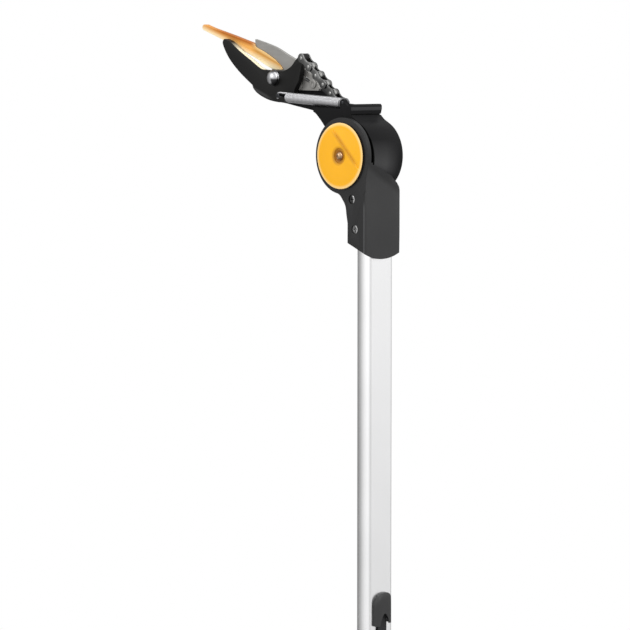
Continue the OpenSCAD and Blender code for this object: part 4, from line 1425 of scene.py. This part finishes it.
    def hood(self) -> None:
        """Mould the hood, open below, with an arched notch for the strap."""
        crown = self.hood_half + self.hood_peak
        heights = [self.hood_low + k * self.hood_row_step for k in range(self.hood_rows)]
        heights += [self.hood_high - crown * (1 - math.sin(a))
                    for a in evenly(0.0, math.pi / 2, self.hood_crown_rows)[1:]]
        hood = Bench.wrap("outlet_cowl", [self.hood_row(z, 0.0) for z in heights])
        low, high = (self.hood_low + z for z in self.hollow)
        room = [self.hood_row(z, self.hood_wall) for z in evenly(low, high, self.hollow_rows)]
        flat = TUBE_HALF_FLAT + self.hollow_skin
        Bench.cut(hood, Bench.wrap("hollow", [[(x - self.hollow_back if x <= flat else x, y, z)
                                               for x, y, z in row] for row in room]))
        arch = smooth([(y, self.hood_low + z) for y, z in self.notch])
        Bench.cut(hood, Bench.wrap("notch", [[(x, y, z) for y, z in arch] for x in
                                             (TUBE_HALF_FLAT + self.notch_depth, self.hood_clear)]))
        back, under = TUBE_HALF_FLAT - self.trim_room[0], self.hood_low - self.trim_room[1]
        Bench.cut(hood, Bench.box("trim", (back, 0.0, under),
                                  (self.hood_clear, self.hood_clear, self.hood_low + self.hood_short)))
        Bench.soften(hood, width=0.3, segments=2, angle=50)
        Bench.polish(hood)
        fit(hood, Body.POLE, SOCKET_BLACK, Slot.SOCKET, "outlet_hood")


@dataclass
class TiltJoint:
    """Lock knob with its screw, and the fastening on the far side."""

    radius: float = 30.0
    back: float = -24.65
    face: float = -27.25
    rim: float = 0.9
    undercut: float = 2.6
    shoulder: float = -25.9
    shoulder_edge: float = 0.3
    dish_radius: float = 7.0
    dish: float = 1.2
    dish_edge: float = 0.9
    step: float = 0.5
    step_off: float = 10.0
    mill_room: float = 1.0
    screw_radius: float = 3.9
    screw_proud: float = 2.3
    shank_radius: float = 2.5
    shank_end: float = -13.9
    recess: float = 1.3
    recess_depth: float = 1.4

    def build(self) -> None:
        """Make and dress every piece of the joint."""
        self.knob()
        self.screw()
        recast("far_washer", "hinge_washer", Body.POLE, FASTENER, edge=0.3)
        recast("far_nut", "hinge_nut", Body.POLE, FASTENER, edge=0.5)

    def knob(self) -> None:
        """Turn the orange disc, dish it, and mill its stepped segment."""
        edge = arc((self.radius - self.rim, self.face + self.rim), self.rim, start=0, end=-90, steps=6)
        lip = self.dish_edge
        bowl = arc((self.dish_radius + lip, self.face + lip), lip, start=-90, end=-180, steps=4)
        neck = self.radius - self.undercut
        floor = self.face + self.dish
        profile = [(0.0, self.back), (neck, self.back), (neck, self.shoulder),
                   (self.radius - self.shoulder_edge, self.shoulder),
                   (self.radius, self.shoulder - self.shoulder_edge), *edge, *bowl,
                   (self.dish_radius, floor), (0.0, floor)]
        knob = Bench.turn("knob_disc", profile, HINGE, steps=128)
        wide = 3 * self.radius
        slope = math.sqrt(0.5)
        outline = [(HINGE[0] + (u - v) * slope, HINGE[1] + (u + v) * slope)
                   for u, v in ((self.step_off, -wide), (wide, -wide), (wide, wide), (self.step_off, wide))]
        Bench.cut(knob, Bench.plate("mill", outline, self.face - self.mill_room, self.face + self.step))
        Bench.soften(knob, width=0.25, segments=2, angle=40)
        Bench.polish(knob, angle=25)
        fit(knob, Body.KNOB, KNOB_ORANGE, Slot.KNOB, "lock_knob")

    def screw(self) -> None:
        """Turn the knob's screw with a socket head."""
        seat, top = self.face + self.dish, self.face - self.screw_proud
        profile = [(0.0, self.shank_end), (self.shank_radius, self.shank_end), (self.shank_radius, seat),
                   *dome(seat, self.screw_radius, seat - top, steps=8)]
        screw = Bench.turn("knob_cap_screw", profile, HINGE, steps=48)
        Bench.drill(screw, (HINGE[0], top, HINGE[1]), self.recess, self.recess_depth, sides=6)
        Bench.polish(screw)
        fit(screw, Body.KNOB, KNOB_STEEL, Slot.FASTENER, "knob_screw")


@dataclass
class HeadFrame:
    """Black frame of the head and the cover of its drum."""

    edge: float = 0.8
    lid_edge: float = 0.5

    def build(self) -> None:
        """Cast the frame and dress what it carries."""
        recast("frame_body", "head_frame", Body.HEAD, HEAD_BLACK, Slot.HEAD, edge=self.edge, segments=3)
        recast("drum_lid", "drum_cover", Body.HEAD, HEAD_BLACK, Slot.HEAD, edge=self.lid_edge)
        dress(FASTENER, "cover_screws")


@dataclass
class CuttingHead:
    """Hook jaw, fixed blade, its guard, and the pivot that they share, counted from the pivot."""

    jaw_half: float = 2.75
    jaw_outer: tuple[Flat, ...] = (
        (-73.6, 32), (-71.3, 27.3), (-65, 18.8), (-56, 10.4), (-44.8, 2), (-31, -6.8))
    jaw_lower: tuple[Flat, ...] = (
        (-29.8, -9.8), (-24.8, -13.9), (-16.3, -17.8), (-6, -20.9), (6, -22.5), (13, -22.4), (18.5, -21.2),
        (25, -17), (29, -9.4), (33.4, -3.4), (35.4, 2), (36.8, 8.5), (40.6, 14.4))
    jaw_inner: tuple[Flat, ...] = (
        (34.6, 20.8), (29.6, 16.8), (23.3, 11), (14.3, 7.2), (4, 6.8), (-6.1, 7.3), (-18.2, 8.6),
        (-33.3, 16.6), (-49, 25.1), (-63.6, 34.6))
    jaw_point: Flat = (-70.2, 33)
    jaw_point_radius: float = 3.5
    jaw_point_sweep: Flat = (55.0, 185.0)
    jaw_bore: float = 6.1
    jaw_drill: float = 20.0
    arm_tip: Flat = (39.0, 18.8)
    arm_radius: float = 4.2
    arm_sweep: Flat = (-50.0, 135.0)
    spring_post: Flat = (16.7, -16.1)
    post_bore: float = 1.9
    blade_near: float = 4.75
    blade_far: float = 7.75
    blade_edge: list[Flat] = field(default_factory=lambda: smooth(
        [(-103.8, 45.2), (-81, 38.6), (-56.5, 30.9), (-35, 23.4), (-18, 16.2), (-9, 11.6)], steps=5))
    blade_heel: tuple[Flat, ...] = ((-9, 11.6), (-13, 4), (-10, -6), (2, -11))
    blade_end: Flat = (53, -11.3)
    blade_back: tuple[Flat, ...] = (
        (54.6, -9), (47, 2), (41, 4.6), (33, 9.5), (24, 16), (8.4, 22.7), (-8.4, 29.5), (-35, 36.2))
    blade_spine: tuple[Flat, ...] = ((-35, 30), (-65.5, 37.3), (-94, 44.1))
    blade_slot: tuple[Flat, ...] = ((32.8, 0.7), (36.2, -0.1), (39.2, -1.6), (41.2, -3.4))
    slot_half: float = 1.3
    slot_cut: Flat = (0.0, 12.0)
    blade_bore: float = 4.05
    blade_drill: Flat = (6.0, 10.0)
    grind: float = 3.4
    grind_way: Flat = (0.25, 0.97)
    guard_near: float = 3.35
    guard_far: float = 9.15
    guard_low: tuple[Flat, ...] = (
        (-107.6, 44.5), (-81.3, 35.8), (-56.7, 27.2), (-35.2, 19.2), (-18.1, 11.6), (-11, 8.9), (-4, 7.7))
    guard_top: tuple[Flat, ...] = (
        (4.6, 7.5), (5, 8.7), (1.8, 11.9), (-6.2, 17.5), (-18.9, 23.6), (-32.6, 28.8), (-34.2, 31.4),
        (-65.5, 39.6), (-94.7, 46.6))
    guard_nose: Flat = (-107.6, 47.4)
    guard_nose_radius: float = 2.9
    guard_nose_sweep: Flat = (80.0, 260.0)
    guard_room: Flat = (0.5, 0.3)
    pocket_front: tuple[Flat, Flat] = ((-105.4, 45.4), (-105.4, 47.0))
    pocket_shoulder: float = -35.3
    pocket_heel: float = -12.0
    pocket_mouth: tuple[Flat, ...] = ((-12.8, 9.0), (6.0, 5.0), (30.0, 60.0), (-35.3, 60.0))
    bolt_radius: float = 7.2
    bolt_rise: float = 4.9
    bolt_flange: float = 7.7
    bolt_shank: float = 4.0
    bolt_end: float = 22.4
    bolt_gap: float = 0.3
    bolt_chamfer: float = 0.6
    flange_edge: float = 0.3

    def build(self) -> None:
        """Make and dress every piece of the cutting head."""
        self.jaw()
        self.blade()
        self.guard()
        self.bolt()
        recast("pivot_lock_nut", "pivot_nut", Body.HEAD, FASTENER, edge=0.5)
        recast("tang_screws", "blade_screws", Body.HEAD, BLADE_STEEL, edge=0.25)
        dress(FASTENER, "pivot_washer")
        dress(BRASS, "jaw_bush")

    def jaw(self) -> None:
        """Cut the hook jaw from plate and round its edges."""
        outer, lower, inner = (smooth(line) for line in (self.jaw_outer, self.jaw_lower, self.jaw_inner))
        tip = arc(self.arm_tip, self.arm_radius, *self.arm_sweep, steps=10)
        point = arc(self.jaw_point, self.jaw_point_radius, *self.jaw_point_sweep, steps=8)
        outline = moved(outer + lower + tip + inner + point, PIVOT)
        jaw = Bench.plate("hook_blade", outline, -self.jaw_half, self.jaw_half)
        Bench.drill(jaw, by_pivot(0.0, 0.0), self.jaw_bore, self.jaw_drill)
        for place in (self.arm_tip, self.spring_post):
            Bench.drill(jaw, by_pivot(*place), self.post_bore, self.jaw_drill, sides=24)
        Bench.soften(jaw, width=0.8, angle=40)
        Bench.polish(jaw, angle=25)
        fit(jaw, Body.JAW, JAW_BLACK, Slot.JAW, "hook_jaw")

    def blade(self) -> None:
        """Cut the blade, grind its edge on the far side, and slot its tang."""
        outline = [*self.blade_edge, *smooth(self.blade_heel)[1:], self.blade_end, *smooth(self.blade_back),
                   *self.blade_spine]
        blade = Bench.plate("blade_body", moved(outline, PIVOT), self.blade_near, self.blade_far)
        sharp = {(round(x * MM, 6), round(z * MM, 6)) for x, z in moved(self.blade_edge[1:-1], PIVOT)}
        middle = (self.blade_near + self.blade_far) / 2
        for corner in blade.data.vertices:
            if corner.co.y > middle * MM and (round(corner.co.x, 6), round(corner.co.z, 6)) in sharp:
                corner.co.x += self.grind_way[0] * self.grind * MM
                corner.co.z += self.grind_way[1] * self.grind * MM
        slot = ribbon(smooth(self.blade_slot), self.slot_half)
        Bench.cut(blade, Bench.plate("slotter", moved(slot, PIVOT), *self.slot_cut))
        at, depth = self.blade_drill
        Bench.drill(blade, (PIVOT[0], at, PIVOT[1]), self.blade_bore, depth)
        Bench.soften(blade, width=0.2, segments=2, angle=50)
        Bench.polish(blade, angle=20)
        fit(blade, Body.HEAD, BLADE_STEEL, Slot.BLADE, "cutting_blade")

    def guard(self) -> None:
        """Mould the guard: a pocket over the point and a channel along the edge, with a wall on each side."""
        nose = arc(self.guard_nose, self.guard_nose_radius, *self.guard_nose_sweep, steps=8)
        outline = [*smooth(self.guard_low, steps=5), *self.guard_top, *nose]
        guard = Bench.plate("guard_shell", moved(outline, PIVOT), self.guard_near, self.guard_far)
        room, aside = self.guard_room
        edge = [(x, z - room) for x, z in self.blade_edge if x < self.pocket_heel]
        spine = [(min(x, self.pocket_shoulder), z + room) for x, z in self.blade_spine]
        low, high = self.pocket_front
        pocket = [low, *edge, *self.pocket_mouth, *spine, high]
        near, far = self.blade_near - aside, self.blade_far + aside
        Bench.cut(guard, Bench.plate("pocket", moved(pocket, PIVOT), near, far))
        Bench.soften(guard, width=0.45, angle=40)
        Bench.polish(guard, angle=25)
        fit(guard, Body.GUARD, GUARD_ORANGE, Slot.GUARD, "blade_guard")

    def bolt(self) -> None:
        """Turn the bright pivot bolt with its domed head."""
        seat, edge, chamfer = -self.jaw_half - self.bolt_gap, self.flange_edge, self.bolt_chamfer
        flange = arc((self.bolt_flange - edge, seat - edge), edge, start=0, end=-90, steps=3)
        shank, end = self.bolt_shank, self.bolt_end
        profile = [(0.0, end), (shank - chamfer, end), (shank, end - chamfer), (shank, seat),
                   (self.bolt_flange, seat), *flange,
                   *dome(seat - 2 * edge, self.bolt_radius, self.bolt_rise, steps=12)]
        bolt = Bench.turn("pivot_dome_bolt", profile, PIVOT, steps=72)
        Bench.polish(bolt)
        fit(bolt, Body.HEAD, BOLT_CHROME, Slot.BOLT, "pivot_bolt")


@dataclass
class ChainDrive:
    """Roller chain, the clip that joins it to the strap, and the pulley."""

    start: Flat = (-95.2, 1547.9)
    turn: float = -38.989
    pitch: float = 12.7
    links: int = 6
    plate_radius: float = 4.3
    plate_thick: float = 1.2
    plate_waist: float = 2.7
    plate_sweep: Flat = (55.0, 305.0)
    waist_knots: tuple[float, ...] = (1.4, 2.0, 2.6)  # in quarters of the plate's length
    waist_flare: float = 0.35
    inner: float = 1.75
    outer: float = 3.1
    pin_radius: float = 1.8
    pin_half: float = 4.6
    peen: tuple[Flat, ...] = ((0.0, 0.0), (0.6, 0.05), (0.9, 0.25), (1.0, 0.6))  # part of the radius, drop
    roller_radius: float = 3.9
    roller_half: float = 1.6
    roller_edge: float = 0.3
    roller_gap: float = 0.05
    clip_len: float = 15.0
    clip_waist: float = 3.3

    def build(self) -> None:
        """Make and dress every piece of the drive."""
        link = self.link_outline(self.pitch, self.plate_waist)
        self.plates("outer_plates", link, range(0, self.links, 2), self.outer, "chain_outer_links")
        self.plates("inner_plates", link, range(1, self.links, 2), self.inner, "chain_inner_links")
        self.pins()
        self.rollers()
        clip = self.link_outline(self.clip_len, self.clip_waist)
        self.plates("eye_clip", clip, [self.links], self.outer, "strap_clip")
        dress(PULLEY_GREY, "strap_pulley")
        dress(BRASS, "pulley_bush")

    def pin_at(self, number: float, y: float = 0.0) -> Spot:
        """Place of a chain pin, counted from the jaw's arm."""
        a, run = math.radians(self.turn), number * self.pitch
        return (self.start[0] + run * math.cos(a), y, self.start[1] + run * math.sin(a))

    def link_outline(self, length: float, waist: float) -> list[Flat]:
        """Outline of a chain plate with a narrow waist.

        Args:
            length: Distance between its pins.
            waist: Half of its height in the middle.

        Returns:
            The outline, with the first pin at the origin.
        """
        start, end = self.plate_sweep
        first = arc((0, 0), self.plate_radius, start, end, steps=20)
        second = arc((length, 0), self.plate_radius, start - 180, end - 180, steps=20)
        dip = [(length * k / 4, -waist - self.waist_flare * abs(k - 2)) for k in self.waist_knots]
        rise = [(x, -z) for x, z in dip[::-1]]
        return first + dip + second + rise

    def plates(self, name: str, outline: Sequence[Flat], numbers: Iterable[int], y: float, node: str) -> None:
        """Punch one plate, copy it to both sides of each link, and join the copies.

        Args:
            name: The piece's name.
            outline: Outline of one plate.
            numbers: The links that have such plates.
            y: Inner face of the plates.
            node: The solid that they stand for.
        """
        master = Bench.plate("plate", outline, 0, self.plate_thick)
        Bench.soften(master, width=0.3, segments=2, angle=40)
        Bench.polish(master)
        spots = [self.pin_at(k, side) for k in numbers for side in (y, -y - self.plate_thick)]
        plates = Bench.copies(name, master, spots, self.turn)
        Bench.drop(master)
        fit(plates, Body.CHAIN, CHAIN_STEEL, Slot.CHAIN, node)

    def pins(self) -> None:
        """Turn one pin with peened ends and copy it along the chain, and to the strap's clip."""
        r, h = self.pin_radius, self.pin_half
        upper = [(part * r, h - drop) for part, drop in self.peen]
        master = Bench.turn("pin", upper + [(x, -y) for x, y in upper[::-1]], (0, 0), steps=24)
        Bench.polish(master, angle=50)
        along = [self.pin_at(k) for k in range(self.links + 1)]
        last = [self.pin_at(self.links + self.clip_len / self.pitch)]
        rows = (("peened_pins", along, "chain_pins"), ("clip_peened_pin", last, "clip_pin"))
        for name, spots, node in rows:
            fit(Bench.copies(name, master, spots), Body.CHAIN, PIN_STEEL, Slot.FASTENER, node)
        Bench.drop(master)

    def rollers(self) -> None:
        """Turn one roller and copy it along the chain."""
        r, h, edge = self.roller_radius, self.roller_half, self.roller_edge
        bore = self.pin_radius + self.roller_gap
        profile = [(bore, h), (r - edge, h), (r, h - edge), (r, edge - h), (r - edge, -h), (bore, -h)]
        master = Bench.turn("roller", profile, (0, 0), steps=32)
        Bench.polish(master, angle=30)
        rollers = Bench.copies("round_rollers", master, [self.pin_at(k) for k in range(1, self.links + 1)])
        Bench.drop(master)
        fit(rollers, Body.CHAIN, PIN_STEEL, Slot.CHAIN, "chain_rollers")


@dataclass
class ReturnSpring:
    """Close-coiled spring between a pin on the jaw and a pin on the frame."""

    front: Spot = (-117.5, -10.7, 1513.0)
    rear: Spot = (-27.0, -10.7, 1508.0)
    wire: float = 1.72
    coil: float = 3.9
    end_coil: float = 0.72
    turns: int = 41
    per_turn: int = 20
    sides: int = 10
    loop: float = 3.2
    hook_angles: range = range(225, 75, -15)
    lead: Flat = (7.6, 1.6)
    sag: float = 0.9
    keep: float = 0.955

    def build(self) -> None:
        """Wind the spring and dress its pins."""
        self.wind()
        recast("jaw_pin", "jaw_spring_post", Body.JAW, BLACK_OXIDE, edge=0.25)
        recast("frame_pin", "frame_spring_post", Body.HEAD, BLACK_OXIDE, edge=0.25)

    def path(self) -> list[Vector]:
        """Middle line of the wire, along X from the front pin.

        Returns:
            Places along the wire.
        """
        length = (Vector(self.rear) - Vector(self.front)).length
        x0 = self.loop + self.lead[0]
        body = length - x0 - self.loop - self.lead[1]
        hook = [math.radians(a) for a in self.hook_angles]
        line = [Vector((self.loop * math.cos(a), 0, self.loop * math.sin(a) - self.sag / 2)) for a in hook]
        for t in (k / self.per_turn for k in range(self.turns * self.per_turn + 1)):
            ease = min(t, self.turns - t, 1.0)
            reach = self.coil * (self.end_coil + (1 - self.end_coil) * ease)
            a = 2 * math.pi * t
            line.append(Vector((x0 + body * t / self.turns, reach * math.sin(a),
                                reach * math.cos(a) - self.sag * ease)))
        line += [Vector((length - self.loop * math.cos(a), 0, self.loop * math.sin(a))) for a in hook[::-1]]
        return line

    def wind(self) -> None:
        """Draw the wire along its middle line and set it between the pins."""
        along = (Vector(self.rear) - Vector(self.front)).normalized()
        side = Vector(FAR)
        rise = along.cross(side)
        middle = [Vector(self.front) + along * p.x + side * p.y + rise * p.z for p in self.path()]
        ring = [2 * math.pi * k / self.sides for k in range(self.sides)]
        rows = []
        reference = side.copy()
        for i, spot in enumerate(middle):
            heading = (middle[min(i + 1, len(middle) - 1)] - middle[max(i - 1, 0)]).normalized()
            reference = (reference - heading * reference.dot(heading)).normalized()
            other = heading.cross(reference)
            rows.append([tuple(spot + (reference * math.cos(a) + other * math.sin(a)) * self.wire / 2)
                         for a in ring])
        spring = Bench.wrap("coil_spring", rows)
        Bench.polish(spring, angle=60)
        fit(spring, Body.SPRING, SPRING_STEEL, Slot.SPRING, "return_spring")
        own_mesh(spring)


@dataclass
class PullStrap:
    """Webbing from the chain's clip, over the pulley and down the tube, to the handle."""

    half: float = 5.5
    thick: float = 1.2
    inside_half: float = 5.4
    inside_thick: float = 1.0
    threads: int = 8
    corner: float = 0.6
    eye_half: float = 2.95
    eye_bore: float = 1.85
    eye_edge: float = 0.2
    radius: float = 19.75
    leave: float = 51.011
    turn: float = -38.989
    eye: Flat = (-24.22, 1490.55)
    inside_x: float = 1.75
    inside_high: float = 1459.5
    outside_x: float = 10.4
    outlet_high: float = 1074.0
    outlet_low: float = 1033.0
    outlet_straight: float = 2.0
    run_low: float = 638.0
    run_high: float = 1037.5
    run_rows: int = 90
    bend_rows: int = 14
    inside_rows: int = 60
    pulley_rows: int = 24
    front_places: range = range(2, 34, 2)

    def build(self) -> None:
        """Weave every stretch of the strap."""
        self.run()
        self.inside()
        self.over_pulley()
        self.front()

    def stretch(self, name: str, line: Sequence[Flat], half: float, thick: float) -> Piece:
        """Weave a flat stretch along a line in the plane of the head.

        Args:
            name: The piece's name.
            line: X and Z of its middle.
            half: Half of its width.
            thick: Its thickness.

        Returns:
            The stretch.
        """
        edge = thick / 2
        side = half - self.corner * edge
        face = [(y, edge) for y in evenly(-half, half, self.threads)[1:-1]]
        above = [(-side, -edge), (-half, 0.0), (-side, edge), *face]
        section = above + [(-y, -t) for y, t in above]
        rows = [[(x + t * u, y, z + t * w) for y, t in section]
                for (x, z), (u, w) in zip(line, sideways(line))]
        made = Bench.wrap(name, rows)
        Bench.polish(made, angle=50)
        return made

    def run(self) -> None:
        """Weave the outside stretch from the handle up into the hood."""
        line = [(self.outside_x, z) for z in evenly(self.run_low, self.run_high, self.run_rows)]
        strap = self.stretch("outside_strap", line, self.half, self.thick)
        fit(strap, Body.HANDLE, STRAP_WEB, Slot.STRAP, "pull_strap")

    def inside(self) -> None:
        """Weave the bend at the outlet and the stretch inside the tube."""
        steps = self.bend_rows
        line = [(self.outside_x, self.outlet_low)]
        for k, z in enumerate(evenly(self.outlet_low + self.outlet_straight, self.outlet_high, steps)):
            swing = (1 + math.cos(math.pi * k / steps)) / 2
            line.append((self.inside_x + (self.outside_x - self.inside_x) * swing, z))
        line += [(self.inside_x, z) for z in evenly(self.outlet_high, self.inside_high, self.inside_rows)[1:]]
        strap = self.stretch("inside_strap", line, self.inside_half, self.inside_thick)
        fit(strap, Body.POLE, STRAP_WEB, Slot.STRAP, "pull_strap")

    def over_pulley(self) -> None:
        """Weave the stretch on the pulley, which the tilt of the head lengthens."""
        line = arc(HINGE, self.radius, 0, self.leave, self.pulley_rows)
        strap = self.stretch("pulley_strap", line, self.half, self.thick)
        strap.data.materials.append(STRAP_WEB.material())
        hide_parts("pull_strap")
        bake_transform(strap)
        LOG.info("%s between %s and %s", strap.name, Body.POLE.value, Body.HEAD.value)

    def front(self) -> None:
        """Weave the stretch from the clip's pin to the pulley, with its sewn eye."""
        a = math.radians(self.turn)
        line = [(self.eye[0] + math.cos(a) * s, self.eye[1] + math.sin(a) * s) for s in self.front_places]
        flat = self.stretch("front_strap", line, self.eye_half, self.thick)
        outside, rim = self.eye_bore + self.thick, self.eye_half - self.eye_edge
        ring = [(self.eye_bore, self.eye_half), (outside, rim), (outside, -rim),
                (self.eye_bore, -self.eye_half)]
        loop = Bench.turn("strap_eye", ring, self.eye, steps=32)
        Bench.polish(loop, angle=30)
        fit(Bench.join("front_strap", [loop, flat]), Body.CHAIN, STRAP_WEB, Slot.STRAP, "pull_strap")


@dataclass
class PullHandle:
    """Orange core that slides on the tube, with a ribbed grip."""

    low: float = 520.0
    length: float = 132.0
    collar: float = 13.0
    bore: float = 0.35
    core: float = 4.55
    collar_out: float = 10.15
    collar_round: tuple[Flat, ...] = ((-2.4, 0.0), (-0.9, 0.6), (-0.2, 1.8), (0.0, 3.4))
    collar_inner: tuple[Flat, ...] = ((0.0, 2.4), (-0.5, 0.9), (-1.4, 0.0))
    grip_out: float = 7.95
    grip_crisp: float = 14.0
    grip_gap: float = 0.1
    grip_seat: float = 0.03
    groove: float = 1.3
    flat_top: float = 1.9
    ribs: int = 9
    rib_rows: int = 14
    ferrule_z: float = 636.0
    ferrule_h: float = 9.0
    strap_half: float = 5.5
    strap_out: float = 11.0
    slot_room: float = 0.8
    slot_lap: float = 1.0
    slot_over: float = 5.0
    nest_room: float = 1.2
    nest_end: float = 0.15

    def build(self) -> None:
        """Make and dress the handle."""
        self.body()
        self.grip()
        recast("crimped_end", "strap_ferrule", Body.HANDLE, FASTENER, edge=0.2)

    def body(self) -> None:
        """Mould the core with rounded collars, and slot it for the strap."""
        high, inner = self.low + self.length, self.low + self.collar
        lower = [(self.bore, self.low), *((self.collar_out + x, self.low + z) for x, z in self.collar_round),
                 *((self.collar_out + x, inner - z) for x, z in self.collar_inner), (self.core, inner)]
        upper = [(grow, self.low + high - z) for grow, z in lower[::-1]]
        body = Bench.wrap("handle_body", [level(oval(grow), z) for grow, z in lower + upper], ring=True)
        top = self.ferrule_z + self.ferrule_h
        bottom = self.ferrule_z - self.nest_end
        for name, room, z0, z1 in (("slot", self.slot_room, top - self.slot_lap, high + self.slot_over),
                                   ("nest", self.nest_room, bottom, top + self.nest_end)):
            half = self.strap_half + room
            Bench.cut(body, Bench.box(name, (0, -half, z0), (self.strap_out + room, half, z1)))
        Bench.polish(body, angle=40)
        fit(body, Body.HANDLE, HANDLE_ORANGE, Slot.KNOB, "handle_core")

    def grip(self) -> None:
        """Mould the ribbed rubber grip between the collars."""
        z0 = self.low + self.collar + self.grip_gap
        z1 = self.low + self.length - self.collar - self.grip_gap
        rows = [level(oval(self.core + self.grip_seat), z0)]
        for z in evenly(z0, z1, self.ribs * self.rib_rows):
            wave = 0.5 - 0.5 * math.cos(2 * math.pi * (z - z0) * self.ribs / (z1 - z0))
            swell = min(1.0, self.flat_top * wave)
            rows.append(level(oval(self.grip_out - self.groove * (1 - swell), crisp=self.grip_crisp), z))
        rows.append(level(oval(self.core + self.grip_seat), z1))
        grip = Bench.wrap("ribbed_grip", rows, ring=True)
        Bench.polish(grip, angle=50)
        fit(grip, Body.HANDLE, RUBBER, Slot.RUBBER, "handle_grip")


def main() -> None:
    """Build the studio and every sub-assembly in order."""
    logging.basicConfig(level=logging.INFO, format="%(name)s: %(message)s")
    bpy.context.scene.view_settings.view_transform = "Standard"
    for part in (Studio(), Pole(), TiltJoint(), HeadFrame(), CuttingHead(), ChainDrive(), ReturnSpring(),
                 PullStrap(), PullHandle()):
        LOG.info("building %s", type(part).__name__)
        part.build()
    Bench.clear()


if __name__ == "__main__":
    main()
